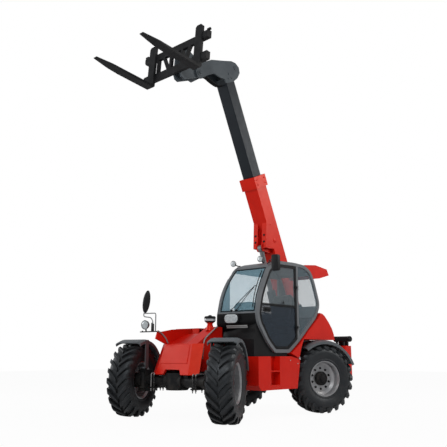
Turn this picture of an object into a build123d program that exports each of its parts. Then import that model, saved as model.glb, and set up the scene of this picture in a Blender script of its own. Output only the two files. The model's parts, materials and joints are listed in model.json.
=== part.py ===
"""Telehandler with a telescopic boom and pallet forks, as separate solids, in millimetres.

+X is the machine's left (cab side), -Y is forward, +Z is up, and the ground is Z = 0.
"""
from build123d import *
import os
from math import atan2, cos, degrees, hypot, radians, sin, tan

os.makedirs("parts", exist_ok=True)

# ---- running gear
wheelbase = 2810
frontAxleY = -1185
rearAxleY = frontAxleY + wheelbase
tyreRadius = 630
tyreWidth = 440
tyreShoulder = 70
sidewallBulge = 90
treadCrown = 14
treadEdge = 34
beadRadius = 305
rimRadius = 322
rimWidth = 330
rimSeatGap = 0.3
seatGap = 0.3
kingpinX = 860
kingpinRadius = 32
hubOffset = 200
frontLeftSteer = 28.5
frontRightSteer = 22.0
rearLeftSteer = -23.5
rearRightSteer = -18.5
axleTubeRadius = 95
axleHousingRadius = 185
fenderClearance = 62
fenderThickness = 14
fenderLip = 58
fenderOverhang = 10

axleBeamEnd = 700
axleHousingHalfWidth = 200
yokeInnerZ = 146
yokeOuterZ = 182
yokeHalfWidth = 75
knuckleHalfHeight = 140
knuckleRadius = 85
kingpinHalfLength = 186
hubRadius = 128
hubSpigot = 44
rimDiscOffset = 10
rimDiscRadius = 246
rimDiscThickness = 14
rimDiscDish = 30
rimFlange = 8
rimBarrelWall = 14
fenderStrutGap = 22
fenderStrutThickness = 16
fenderStrutWidth = 120
fenderCrown = 24
fenderCrownWidth = 55
# how far each fender reaches ahead of and behind the top of its tyre, in degrees
frontFenderReach = (24, 74)
rearFenderReach = (37, 68)
strutCapHeight = 20
strutCapWidth = 25
transferBoxY = 200
transferBoxSize = 260
driveShaftRadius = 38

# ---- chassis
railInnerX = 216
railThickness = 24
railOuterX = railInnerX + railThickness
bellyThickness = 20
# the transfer box stands on the belly plate
bellyZ = tyreRadius - transferBoxSize / 2 - bellyThickness
axleArchZ = 790
axleArchHalf = 365
tailBehindAxle = 805
tailY = rearAxleY + tailBehindAxle
noseTopZ = 1250
noseBottomZ = 745
noseFrontY = -1244
noseThickness = 40
wallInnerX = 380
wallOuterX = 400
crestFrontY = -650
crestRearY = -500
crestZ = 1540
deckFrontZ = 1205
deckRearZ = 1420
noseLean = radians(18)
panelTopHalf = 330
panelBottomHalf = 395
fieldTopHalf = 285
fieldBottomHalf = 318
notchHalf = 170
wingBottomX = 553
wingBottomY = -1230
wingTopWidth = 165
wingTopSlope = 0.65
bandInnerX = 150
bandThickness = 30
cleanerX = 305
cleanerY = -712
cleanerNeckRadius = 42
cleanerBossZ = 1565
noseMidZ = (noseTopZ + noseBottomZ) / 2
hitchPinRadius = 20
weightTopZ = 1245
weightBottomZ = 620
weightWidth = 2120
weightDepth = 300
weightGap = 10
hitchBottomZ = 500
hitchWidth = 160
hitchLength = 200
hoodInnerX = 300
hoodTopZ = 1545
tankTopZ = 1040
stepDepth = 130
stepFrontY = -30
stepWidth = 250
stepBottomZ = 540
stepRise = 240
treadThickness = 22
skirtThickness = 20
cowlEdgeRadius = 40
engineBayFrontY = -370
engineBayRearY = 850
hoodSkin = 25
hoodSillZ = 886
hoodHingeX = -272
hoodHingeZ = 1532
hoodHingeRadius = 16
hoodPinRadius = 9
hoodHingeYs = (-180, 660)

# ---- boom
pivotBehindAxle = 391
boomPivotY = rearAxleY + pivotBehindAxle
boomPivotZ = 1950
boomAngle = 65.4
boomPinRadius = 45
boomCentre = 60
outerBoomHeight = 340
outerBoomWidth = 330
outerBoomWall = 14
outerBoomTail = -330
outerBoomEnd = 2930
collarLength = 240
collarHeight = 392
collarWidth = 386
innerBoomHeight = 278
innerBoomWidth = 262
innerBoomWall = 12
innerBoomStart = 1300
innerBoomEnd = 4960
slideGap = 0.3
boomEdgeRadius = 14
runningGap = 0.08

# ---- boom head and fork carriage, placed along and across the boom
headPlateInnerX = 112
headPlateThickness = 26
headReach = 190
carriagePivotS = innerBoomEnd + headReach
carriagePivotT = -800
carriagePinRadius = 34
tiltBarrelPinS = innerBoomEnd + headReach
tiltBarrelPinT = 330
tiltPinRise = 265
tiltPinForward = 150
forkTilt = 4.8
forkSpread = 1240
forkWidth = 168
forkTipWidth = 84
forkTaper = 340
forkThickness = 54
forkLength = 1270
shankHeight = 880
shankThickness = 56
shankTopCut = 36
heelAhead = 584.765
heelDrop = 279.5413
carriageFrameDepth = 60
barOverhang = 132
barEndGap = 2
barPostX = 500
barPostWidth = 60
midPostX = 150
strutTopX = 350
carrierInnerX = 62
carrierOuterX = 100
lowBarY = 225
lowBarHeight = 150
topBarY = 648
topBarHeight = 140
barKnobRadius = 26

# ---- cylinders
liftBaseBehindAxle = 188
liftBaseY = rearAxleY + liftBaseBehindAxle
liftBaseZ = 1228
liftLugS = 1500
liftLugT = -300
liftBarrelRadius = 85
liftRodRadius = 48
liftPinRadius = 32
tiltBarrelRadius = 56
tiltRodRadius = 32
tiltPinRadius = 24

liftLugInnerX = 52
liftLugOuterX = 82
bracketPlate = 22
bracketSlotHalf = 56
liftEyeHalfWidth = 42
rodInside = {"lift": 870, "tilt": 430}
tiltEyeHalfWidth = 34

# ---- cab
cabInnerX = 252
cabOuterX = 1050
tankProud = 50
cowlProud = 30
tankOuterX = cabOuterX + tankProud
cowlOuterX = cabOuterX + cowlProud
cabCutX = cabOuterX + 150
cabWall = 45
doorGap = 6
doorStile = 45
cabRing = 60
glassThickness = 6


def boomPoint(s, t):
    """Y and Z of a point s along the boom from its pivot and t above its pivot line."""
    a = radians(boomAngle)
    return (boomPivotY - s * cos(a) + t * sin(a), boomPivotZ + s * sin(a) + t * cos(a))


def boxBetween(x0, x1, y0, y1, z0, z1):
    """A box given by its lowest and highest corners."""
    centre = Pos((x0 + x1) / 2, (y0 + y1) / 2, (z0 + z1) / 2)
    return centre * Box(x1 - x0, y1 - y0, z1 - z0, mode=Mode.PRIVATE)


def insetPoints(points, inset):
    """The corners of a convex outline, listed with the inside on their left, drawn in by inset.

    A corner is its two coordinates and its largest rounding radius.
    """
    moved = []
    for i, point in enumerate(points):
        before = Vector(*points[i - 1][:2])
        here = Vector(*point[:2])
        after = Vector(*points[(i + 1) % len(points)][:2])
        first = (here - before).normalized()
        second = (after - here).normalized()
        inward = Vector(-first.Y - second.Y, first.X + second.X).normalized()
        corner = here + inward * (inset / Vector(-first.Y, first.X).dot(inward))
        moved.append((corner.X, corner.Y, max(point[2] - inset, 20)))
    return moved


def roundedSketch(plane, points):
    """The outline through the points, each corner rounded by its own radius or as far as its sides allow."""
    with BuildSketch(plane, mode=Mode.PRIVATE) as outline:
        with BuildLine():
            ends = []
            for i, point in enumerate(points):
                here = Vector(*point[:2])
                back = Vector(*points[i - 1][:2]) - here
                on = Vector(*points[(i + 1) % len(points)][:2]) - here
                half = radians(back.get_angle(on)) / 2
                reach = min(0.49 * back.length, 0.49 * on.length, point[2] / tan(half))
                radius = reach * tan(half)
                start = here + back.normalized() * reach
                end = here + on.normalized() * reach
                toCentre = (back.normalized() + on.normalized()).normalized()
                middle = here + toCentre * (radius / sin(half) - radius)
                ThreePointArc(start, middle, end)
                ends.append((start, end))
            for i in range(len(ends)):
                Line(ends[i - 1][1], ends[i][0])
        make_face()
    return outline.sketch


def save(piece, name):
    piece.part.label = name
    export_step(piece.part, f"parts/{name}.step")


angle = radians(boomAngle)
boomPlane = Plane(origin=(0, boomPivotY, boomPivotZ), x_dir=(0, -cos(angle), sin(angle)), z_dir=(-1, 0, 0))
# A side plane has Y to the right and Z up, and its normal is +X.
sidePlane = Plane.YZ

# ------------------------------------------------------------------ wheels
wheels = [
    # name, side, axle Y, steer angle, fender reach
    ("front_left", 1, frontAxleY, frontLeftSteer, frontFenderReach),
    ("front_right", -1, frontAxleY, frontRightSteer, frontFenderReach),
    ("rear_left", 1, rearAxleY, rearLeftSteer, rearFenderReach),
    ("rear_right", -1, rearAxleY, rearRightSteer, rearFenderReach),
]

for wheelName, side, axleY, steer, fenderReach in wheels:
    turn = radians(steer)
    axleDirection = (side * cos(turn), side * sin(turn), 0)
    # The wheel plane's normal points outward, its x_dir lies level along the tread.
    kingpin = (side * kingpinX, axleY, tyreRadius)
    wheelPlane = Plane(origin=kingpin, x_dir=(0, 0, 1), z_dir=axleDirection).offset(hubOffset)
    halfTread = tyreWidth / 2
    bulgeRadius = tyreRadius - tyreShoulder - sidewallBulge
    halfRim = rimWidth / 2
    profilePlane = Plane(origin=wheelPlane.origin, x_dir=wheelPlane.x_dir, z_dir=wheelPlane.y_dir)
    spinAxis = Axis(wheelPlane.origin, axleDirection)

    with BuildPart() as tyre:
        with BuildSketch(profilePlane):
            with BuildLine():
                Polyline(
                    (rimRadius + rimSeatGap, -halfRim - 8),
                    (rimRadius + rimSeatGap + 7, -halfRim - 14),
                    (bulgeRadius, -halfTread),
                    (tyreRadius - tyreShoulder, -halfTread),
                    (tyreRadius - treadCrown, -halfTread + treadEdge),
                    (tyreRadius, 0),
                    (tyreRadius - treadCrown, halfTread - treadEdge),
                    (tyreRadius - tyreShoulder, halfTread),
                    (bulgeRadius, halfTread),
                    (rimRadius + rimSeatGap + 7, halfRim + 14),
                    (rimRadius + rimSeatGap, halfRim + 8),
                    close=True,
                )
            make_face()
        revolve(axis=spinAxis, revolution_arc=360)
    save(tyre, f"tyre_{wheelName}")

    # local coordinate order on the profile: radius, then minus the outward offset
    barrelInner = beadRadius - rimBarrelWall
    rimOuter = halfRim + rimFlange
    discFace = -rimDiscOffset
    discBack = discFace + rimDiscThickness
    with BuildPart() as rim:
        with BuildSketch(profilePlane):
            Polygon((rimRadius, -rimOuter), (rimRadius, -halfRim + 6), (beadRadius, -halfRim + 14),
                    (beadRadius, halfRim - 14), (rimRadius, halfRim - 6), (rimRadius, rimOuter),
                    (rimRadius - rimBarrelWall, rimOuter), (barrelInner, halfRim - 20),
                    (barrelInner, discBack - rimDiscDish), (rimDiscRadius, discBack),
                    (hubRadius + seatGap, discBack), (hubRadius + seatGap, discFace),
                    (rimDiscRadius - 6, discFace), (barrelInner, discFace - rimDiscDish - 6),
                    (barrelInner, -halfRim + 20), (rimRadius - rimBarrelWall, -rimOuter), align=None)
        revolve(axis=spinAxis, revolution_arc=360)
    save(rim, f"rim_{wheelName}")

    with BuildPart() as knuckle:
        with BuildSketch(Plane.XY.offset(tyreRadius - knuckleHalfHeight)):
            with Locations((kingpin[0], kingpin[1])):
                Circle(knuckleRadius)
        extrude(amount=2 * knuckleHalfHeight)
        with BuildSketch(Plane(origin=kingpin, x_dir=(0, 0, 1), z_dir=axleDirection)):
            Circle(hubRadius)
        extrude(amount=hubOffset + rimDiscOffset + hubSpigot)
        with BuildSketch(Plane.XY.offset(tyreRadius - kingpinHalfLength)):
            with Locations((kingpin[0], kingpin[1])):
                Circle(kingpinRadius)
        extrude(amount=2 * kingpinHalfLength)
        with BuildSketch(Plane.XY.offset(tyreRadius + yokeOuterZ + 2)):
            with Locations((kingpin[0], kingpin[1])):
                Circle(kingpinRadius + strutCapWidth)
        extrude(amount=strutCapHeight - 2)
    save(knuckle, f"knuckle_{wheelName}")

    # the fender is carried by a strut on the kingpin's cap, inboard of the tyre
    fenderInner = tyreRadius + fenderClearance
    fenderOuter = fenderInner + fenderThickness
    outerEdge = -halfTread - fenderOverhang
    innerEdge = halfTread + fenderStrutGap + fenderStrutThickness
    strutOffset = hubOffset - innerEdge
    strutFoot = yokeOuterZ + strutCapHeight
    strutHead = fenderInner + fenderThickness / 2
    strutPlane = Plane(origin=kingpin, x_dir=(0, 0, 1), z_dir=axleDirection).offset(strutOffset)
    # the arc runs forward over the tyre from the fender's rear end
    aheadReach, behindReach = fenderReach
    behind = radians(behindReach)
    rearEnd = (-sin(turn) * sin(behind), cos(turn) * sin(behind), cos(behind))
    acrossEnd = Vector(axleDirection).cross(Vector(rearEnd))
    fenderPlane = Plane(origin=wheelPlane.origin, x_dir=rearEnd, z_dir=acrossEnd)
    with BuildPart() as fender:
        # a crowned channel over the tread with its edges turned down
        with BuildSketch(fenderPlane):
            Polygon((fenderOuter - fenderCrown, outerEdge), (fenderOuter, outerEdge + fenderCrownWidth),
                    (fenderOuter, innerEdge - fenderCrownWidth), (fenderOuter - fenderCrown, innerEdge),
                    (fenderInner - fenderLip, innerEdge),
                    (fenderInner - fenderLip, innerEdge - fenderThickness),
                    (fenderInner - fenderCrown, innerEdge - fenderThickness),
                    (fenderInner, innerEdge - fenderThickness - fenderCrownWidth),
                    (fenderInner, outerEdge + fenderThickness + fenderCrownWidth),
                    (fenderInner - fenderCrown, outerEdge + fenderThickness),
                    (fenderInner - fenderLip, outerEdge + fenderThickness),
                    (fenderInner - fenderLip, outerEdge), align=None)
        fenderAxis = Axis(wheelPlane.origin, (cos(turn), sin(turn), 0))
        revolve(axis=fenderAxis, revolution_arc=aheadReach + behindReach)
        with BuildSketch(strutPlane):
            with Locations(((strutFoot + strutHead) / 2, 0)):
                Rectangle(strutHead - strutFoot, fenderStrutWidth)
        extrude(amount=fenderStrutThickness)
        with BuildSketch(Plane.XY.offset(tyreRadius + strutFoot)):
            with Locations((kingpin[0], kingpin[1])):
                Circle(kingpinRadius + strutCapWidth)
        extrude(amount=strutCapHeight)
    save(fender, f"fender_{wheelName}")

# ------------------------------------------------------------------ axles and drive line
housingHalfHeight = axleHousingRadius * 0.75
yokeMiddleZ = (yokeInnerZ + yokeOuterZ) / 2
for axleName, axleY in (("front_axle", frontAxleY), ("rear_axle", rearAxleY)):
    with BuildPart() as axle:
        with BuildSketch(Plane.YZ):
            with Locations((axleY, tyreRadius)):
                Circle(axleTubeRadius)
        extrude(amount=axleBeamEnd, both=True)
        with BuildSketch(Plane.YZ):
            with Locations((axleY, tyreRadius)):
                Circle(housingHalfHeight)
        extrude(amount=axleHousingHalfWidth, both=True)
        with BuildSketch(Plane.XY.offset(tyreRadius)):
            with Locations((0, axleY)):
                Circle(axleHousingRadius)
        extrude(amount=housingHalfHeight, both=True)
        for side in (-1, 1):
            # yoke: a web and two arms that hold the kingpin above and below the knuckle
            with BuildSketch(Plane.XZ.offset(-axleY)):
                with Locations((side * (axleBeamEnd + 20), tyreRadius)):
                    Rectangle(40, 2 * yokeOuterZ)
                for z in (tyreRadius - yokeMiddleZ, tyreRadius + yokeMiddleZ):
                    with Locations((side * (axleBeamEnd + 110), z)):
                        Rectangle(220, yokeOuterZ - yokeInnerZ)
            extrude(amount=yokeHalfWidth, both=True)
            with BuildSketch(Plane.XY.offset(tyreRadius)):
                with Locations((side * kingpinX, axleY)):
                    Circle(kingpinRadius + runningGap)
            extrude(amount=yokeOuterZ + 1, both=True, mode=Mode.SUBTRACT)
    save(axle, axleName)

with BuildPart() as drive_line:
    # the transfer box and a shaft to each axle
    with BuildSketch(Plane.XZ.offset(-rearAxleY)):
        with Locations((0, tyreRadius)):
            Circle(driveShaftRadius)
    extrude(amount=wheelbase)
    with BuildSketch(Plane.XZ.offset(-transferBoxY)):
        with Locations((0, tyreRadius)):
            Rectangle(transferBoxSize, transferBoxSize)
    extrude(amount=transferBoxSize / 2, both=True)
    with BuildSketch(Plane.XY):
        with Locations((0, frontAxleY), (0, rearAxleY)):
            Circle(axleHousingRadius + seatGap)
    extrude(amount=2 * tyreRadius, mode=Mode.SUBTRACT)
save(drive_line, "drive_line")

# ------------------------------------------------------------------ chassis frame


def noseBackY(z):
    """Y of the nose panel's back face at height z, which the front walls' edges follow."""
    return noseFrontY + (z - noseMidZ) * tan(noseLean) + noseThickness / cos(noseLean)


railProfile = [
    (-1130, axleArchZ), (-1130, deckFrontZ), (-560, deckRearZ), (-420, deckRearZ),
    (-300, 1000), (900, 1000), (boomPivotY - 516, 1500), (boomPivotY - 216, 2060), (boomPivotY + 114, 2100),
    (tailY - 100, 1900), (tailY, 1300), (tailY, 700), (tailY - 180, 700),
    (rearAxleY + axleArchHalf, axleArchZ), (rearAxleY - axleArchHalf, axleArchZ), (rearAxleY - 625, bellyZ),
    (-600, bellyZ), (-850, axleArchZ),
]
with BuildPart() as chassis_frame:
    with BuildSketch(sidePlane.offset(railInnerX)):
        Polygon(*railProfile, align=None)
    extrude(amount=railThickness)
    with BuildSketch(sidePlane.offset(-railOuterX)):
        Polygon(*railProfile, align=None)
    extrude(amount=railThickness)
    # belly plate, front and rear cross plates
    with BuildSketch(sidePlane.offset(-railInnerX)):
        Polygon((-600, bellyZ), (900, bellyZ), (900, bellyZ + bellyThickness), (-600, bellyZ + bellyThickness),
                align=None)
        Polygon((tailY - 30, 700), (tailY, 700), (tailY, 1500), (tailY - 30, 1500), align=None)
        Polygon((rearAxleY - 65, 850), (rearAxleY + 395, 850), (rearAxleY + 395, 880), (rearAxleY - 65, 880),
                align=None)
    extrude(amount=2 * railInnerX)
    # posts for the hood's hinges, each with two ears and a pin
    for y in hoodHingeYs:
        with BuildSketch(sidePlane.offset(-railOuterX)):
            Polygon((y - 60, 990), (y + 60, 990), (y + 45, hoodHingeZ + hoodHingeRadius),
                    (y - 45, hoodHingeZ + hoodHingeRadius), align=None)
        extrude(amount=railThickness)
        for earY in (y - 45, y + 25):
            with BuildSketch(Plane.XZ.offset(-earY)):
                with Locations((hoodHingeX, hoodHingeZ)):
                    Circle(hoodHingeRadius)
                with Locations(((hoodHingeX - railOuterX) / 2, hoodHingeZ)):
                    Rectangle(-hoodHingeX - railOuterX + 1, 2 * hoodHingeRadius)
            extrude(amount=-20)
        with BuildSketch(Plane.XZ.offset(-y + 30)):
            with Locations((hoodHingeX, hoodHingeZ)):
                Circle(hoodPinRadius)
        extrude(amount=-60)
    # axle mounts: blocks that hang from the rails onto each axle tube
    for axleY in (frontAxleY, rearAxleY):
        for side in (-1, 1):
            with BuildSketch(Plane.XY.offset(tyreRadius + axleTubeRadius * 0.7)):
                with Locations((side * (railInnerX + railThickness / 2 + 40), axleY)):
                    Rectangle(railThickness + 80, 140)
            extrude(amount=axleArchZ + 40 - tyreRadius - axleTubeRadius * 0.7)
    with BuildSketch(Plane.YZ.offset(-railOuterX - 100)):
        with Locations((frontAxleY, tyreRadius), (rearAxleY, tyreRadius)):
            Circle(axleTubeRadius + seatGap)
    extrude(amount=2 * railOuterX + 200, mode=Mode.SUBTRACT)
    # bosses and bores of the boom pivot and of the lift cylinder's foot
    with BuildSketch(sidePlane.offset(-railOuterX - 20)):
        with Locations((boomPivotY, boomPivotZ)):
            Circle(boomPinRadius + 45)
        with Locations((liftBaseY, liftBaseZ)):
            Circle(liftPinRadius + 35)
    extrude(amount=20)
    with BuildSketch(sidePlane.offset(railOuterX)):
        with Locations((boomPivotY, boomPivotZ)):
            Circle(boomPinRadius + 45)
        with Locations((liftBaseY, liftBaseZ)):
            Circle(liftPinRadius + 35)
    extrude(amount=20)
    with BuildSketch(sidePlane.offset(-railOuterX - 20)):
        with Locations((boomPivotY, boomPivotZ)):
            Circle(boomPinRadius + runningGap)
    extrude(amount=2 * railOuterX + 40, mode=Mode.SUBTRACT)
    with BuildSketch(sidePlane.offset(-railOuterX)):
        with Locations((liftBaseY, liftBaseZ)):
            Circle(liftPinRadius)
    extrude(amount=2 * railOuterX)
save(chassis_frame, "chassis_frame")

# ------------------------------------------------------------------ front nose
noseNormal = (0, -cos(noseLean), sin(noseLean))
noseCentre = Plane(origin=(0, noseFrontY, noseMidZ), x_dir=(1, 0, 0), z_dir=noseNormal)
noseHalf = (noseTopZ - noseBottomZ) / 2 / cos(noseLean)
leftWall = [
    (noseBackY(axleArchZ), axleArchZ), (noseBackY(noseTopZ), noseTopZ), (crestFrontY, crestZ),
    (crestRearY, crestZ), (crestRearY, 900), (-850, axleArchZ),
]
rightWall = [
    (noseBackY(axleArchZ), axleArchZ), (noseBackY(noseTopZ), noseTopZ), (-1350, 1340), (-1310, 1455),
    (-1255, 1455), (-960, 1505), (-450, 1540), (-450, 900), (-850, axleArchZ),
]


def nosePoint(x, height):
    """A point of the nose's centre panel, height up its slope from the middle."""
    return noseCentre.from_local_coords(Vector(x, height))


with BuildPart() as front_nose:
    # centre panel, notched over the axle and with a raised field
    with BuildSketch(noseCentre):
        Polygon((-panelBottomHalf, -noseHalf), (-notchHalf - 40, -noseHalf), (-notchHalf, -noseHalf + 85),
                (notchHalf, -noseHalf + 85), (notchHalf + 40, -noseHalf), (panelBottomHalf, -noseHalf),
                (panelTopHalf, noseHalf), (-panelTopHalf, noseHalf), align=None)
    extrude(amount=-noseThickness)
    with BuildSketch(noseCentre):
        Polygon((-fieldBottomHalf, -80), (fieldBottomHalf, -80), (fieldTopHalf, noseHalf - 14),
                (-fieldTopHalf, noseHalf - 14), align=None)
    extrude(amount=8, taper=40)
    # wings fold back from the panel's sides to the wheel arches
    for side in (-1, 1):
        top = nosePoint(side * panelTopHalf, noseHalf)
        bottom = nosePoint(side * panelBottomHalf, -noseHalf)
        tip = Vector(side * wingBottomX, wingBottomY, noseBottomZ)
        normal = (tip - bottom).cross(top - bottom).normalized() * side
        wingPlane = Plane(origin=bottom, x_dir=(tip - bottom).normalized(), z_dir=normal)
        rise = wingPlane.to_local_coords(top)
        crown = wingPlane.to_local_coords(top + Vector(side * wingTopWidth, wingTopWidth * wingTopSlope, 0))
        reach = wingPlane.to_local_coords(tip)
        with BuildSketch(wingPlane):
            Polygon((0, 0), (reach.X, reach.Y), (crown.X, crown.Y), (rise.X, rise.Y), align=None)
        extrude(amount=-noseThickness / 2)
    for x, outline in ((wallInnerX, leftWall), (-wallOuterX, rightWall)):
        with BuildSketch(sidePlane.offset(x)):
            Polygon(*outline, align=None)
        extrude(amount=wallOuterX - wallInnerX)
    # the left wall's crown is a broad sloping band, closed down to the deck on its inner side
    with BuildSketch(sidePlane.offset(bandInnerX)):
        Polygon((noseBackY(noseTopZ), noseTopZ - bandThickness), (noseBackY(noseTopZ), noseTopZ),
                (crestFrontY, crestZ), (crestRearY, crestZ), (crestRearY, crestZ - bandThickness),
                (crestFrontY + bandThickness / 2, crestZ - bandThickness), align=None)
    extrude(amount=wallOuterX - bandInnerX)
    with BuildSketch(sidePlane.offset(bandInnerX)):
        Polygon((noseBackY(noseTopZ), noseTopZ), (crestFrontY, crestZ), (crestFrontY + 90, crestZ),
                (crestFrontY + 90, deckRearZ + 5), (-1130, deckFrontZ + 5), align=None)
    extrude(amount=12)
    # the boss of the air cleaner stands on the band
    with BuildSketch(Plane.XY.offset(crestZ - 2 * bandThickness)):
        with Locations((cleanerX, cleanerY)):
            Circle(78)
    extrude(amount=cleanerBossZ - crestZ + 2 * bandThickness, taper=18)
    # the deck between the walls lies on the rails
    with BuildSketch(sidePlane.offset(-wallInnerX - 1)):
        Polygon((noseBackY(deckFrontZ + 10) - 5, deckFrontZ + seatGap), (-1130, deckFrontZ + seatGap),
                (-560, deckRearZ + seatGap), (-560, deckRearZ + 16), (-1130, deckFrontZ + 16),
                (noseBackY(deckFrontZ + 10) - 5, deckFrontZ + 16), align=None)
    extrude(amount=2 * wallInnerX + 2)
save(front_nose, "front_nose")

# ------------------------------------------------------------------ rear counterweight and hitch
with BuildPart() as rear_counterweight:
    with BuildSketch(Plane.XY.offset(weightBottomZ)):
        with Locations((0, tailY + weightGap + weightDepth / 2)):
            Rectangle(weightWidth, weightDepth)
    extrude(amount=weightTopZ - weightBottomZ)
    fillet(rear_counterweight.edges().filter_by(Axis.Z), 60)
    # a seat block meets the frame's rear plate
    with BuildSketch(Plane.XY.offset(900)):
        with Locations((0, tailY + (weightGap + 0.4) / 2)):
            Rectangle(300, weightGap - 0.4)
    extrude(amount=200)
save(rear_counterweight, "rear_counterweight")

with BuildPart() as tow_hitch:
    with BuildSketch(Plane.XY.offset(hitchBottomZ)):
        with Locations((0, tailY + 210)):
            Rectangle(hitchWidth, hitchLength)
    extrude(amount=weightBottomZ - seatGap - hitchBottomZ)
    with BuildSketch(Plane.XY.offset(hitchBottomZ)):
        with Locations((0, tailY + 260)):
            Circle(hitchPinRadius)
    extrude(amount=60, mode=Mode.SUBTRACT)
save(tow_hitch, "tow_hitch")

# ------------------------------------------------------------------ side bodies
with BuildPart() as left_side_tank:
    with BuildSketch(sidePlane.offset(railOuterX + seatGap)):
        Polygon((-370, tankTopZ), (-370, 560), (-300, 480), (730, 480), (800, 800), (830, 990),
                (560, tankTopZ), align=None)
    extrude(amount=tankOuterX - railOuterX - seatGap)
    # the cab step: a recess with two treads
    stepRearY = stepFrontY + stepWidth
    add(boxBetween(tankOuterX - stepDepth, tankOuterX + 1, stepFrontY, stepRearY, stepBottomZ, tankTopZ + 1),
        mode=Mode.SUBTRACT)
    for z in (stepBottomZ, stepBottomZ + stepRise):
        add(boxBetween(tankOuterX - stepDepth - 1, tankOuterX - 4, stepFrontY - 1, stepRearY + 1,
                       z, z + treadThickness))
save(left_side_tank, "left_side_tank")

with BuildPart() as rear_left_cowl:
    with BuildSketch(sidePlane.offset(railOuterX + seatGap)):
        Polygon((600, 1093), (840, 1000), (900, 1180), (rearAxleY - 625, 1350), (rearAxleY + 455, 1350),
                (rearAxleY + 430, 1464), (rearAxleY + 365, 1580), (rearAxleY + 255, 1700),
                (rearAxleY + 125, 1812), (rearAxleY + 55, 1850), (rearAxleY - 25, 1860), (1484, 1738),
                (1190, 1525), (856, 1247), align=None)
    extrude(amount=cowlOuterX - railOuterX - seatGap)
    fillet(rear_left_cowl.edges().filter_by(GeomType.LINE).group_by(Axis.X)[-1].filter_by(
        lambda edge: edge.center().Z > 1400 and edge.center().Y > rearAxleY - 25), cowlEdgeRadius)
save(rear_left_cowl, "rear_left_cowl")

with BuildPart() as rear_right_cowl:
    with BuildSketch(sidePlane.offset(-cowlOuterX)):
        Polygon((880, 1350), (rearAxleY + 455, 1350), (rearAxleY + 376, 1464), (rearAxleY + 225, 1560),
                (880, 1560), align=None)
    extrude(amount=cowlOuterX - railOuterX - seatGap)
save(rear_right_cowl, "rear_right_cowl")

with BuildPart() as engine_tray:
    with BuildSketch(Plane.XZ.offset(-engineBayFrontY)):
        Polygon((-railOuterX - seatGap, 520), (-cowlOuterX, 520), (-cowlOuterX, hoodSillZ - 6),
                (-cowlOuterX + 30, hoodSillZ - 6), (-cowlOuterX + 30, 550), (-railOuterX - seatGap, 550),
                align=None)
    extrude(amount=engineBayFrontY - engineBayRearY)
save(engine_tray, "engine_tray")

with BuildPart() as engine_block:
    with BuildSketch(Plane.XY.offset(550 + seatGap)):
        with Locations((-650, 230)):
            Rectangle(520, 900)
    extrude(amount=720)
save(engine_block, "engine_block")

# the hood turns about its inner upper edge
hoodTop = [(-hoodInnerX, hoodTopZ), (-900, hoodTopZ), (-1045, hoodTopZ - 85), (-cowlOuterX, hoodTopZ - 160)]
hoodUnder = [(-cowlOuterX + hoodSkin, hoodTopZ - 166), (-1026, hoodTopZ - 104), (-892, hoodTopZ - hoodSkin),
             (-hoodInnerX, hoodTopZ - hoodSkin)]
with BuildPart() as engine_hood:
    with BuildSketch(Plane.XZ.offset(-engineBayFrontY)):
        Polygon(*hoodTop, (-cowlOuterX, hoodSillZ), (-cowlOuterX + hoodSkin, hoodSillZ), *hoodUnder,
                align=None)
    extrude(amount=engineBayFrontY - engineBayRearY)
    # its front and rear end plates
    for endY in (engineBayFrontY, engineBayRearY - hoodSkin):
        with BuildSketch(Plane.XZ.offset(-endY)):
            Polygon(*hoodTop, (-cowlOuterX, hoodSillZ), (-hoodInnerX, hoodSillZ), align=None)
        extrude(amount=-hoodSkin)
    for y in hoodHingeYs:
        with BuildSketch(Plane.XZ.offset(-y + 20)):
            with Locations((hoodHingeX, hoodHingeZ)):
                Circle(hoodHingeRadius)
            with Locations(((hoodHingeX - hoodInnerX - 30) / 2, hoodHingeZ)):
                Rectangle(hoodInnerX + 30 + hoodHingeX, 24)
            with Locations((hoodHingeX, hoodHingeZ)):
                Circle(hoodPinRadius + runningGap, mode=Mode.SUBTRACT)
        extrude(amount=-40)
save(engine_hood, "engine_hood")

# ------------------------------------------------------------------ cab
# side outlines of the cab, Y and Z, from the floor's front round by the roof: outer (left) and inner (right)
cabFloorZ = 1101
# corners of the cab's side outlines: Y, Z, rounding radius
cabRear = [(579, cabFloorZ, 110), (839, 1265, 1500), (1464, 1757, 420), (1590, 1960, 260), (1590, 2080, 420),
           (1440, 2465, 1500), (1330, 2640, 260), (1130, 2735, 500), (803, 2752, 2500), (330, 2738, 500)]
cabLeft = cabRear + [(20, 2640, 420), (-107, 2400, 1500), (-255, 2111, 1500), (-330, 1765, 260),
                     (-287, 1598, 500), (-44, 1268, 1500), (164, cabFloorZ, 110)]
cabRight = cabRear + [(30, 2650, 420), (-200, 2410, 1500), (-390, 2111, 1500), (-478, 1750, 260),
                      (-482, 1560, 90), (-64, 1268, 300), (164, cabFloorZ, 110)]


def cabSketch(x, outline, inset):
    """The cab's rounded side outline at x, drawn in by inset."""
    return roundedSketch(sidePlane.offset(x), insetPoints(outline, inset))


def cabLoft(inset, sideInset):
    """The cab's closed volume, drawn in by inset all round and by sideInset at each side."""
    right = cabSketch(cabInnerX + sideInset, cabRight, inset)
    left = cabSketch(cabOuterX - sideInset, cabLeft, inset)
    return loft([right, left], ruled=True, mode=Mode.PRIVATE)


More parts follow.
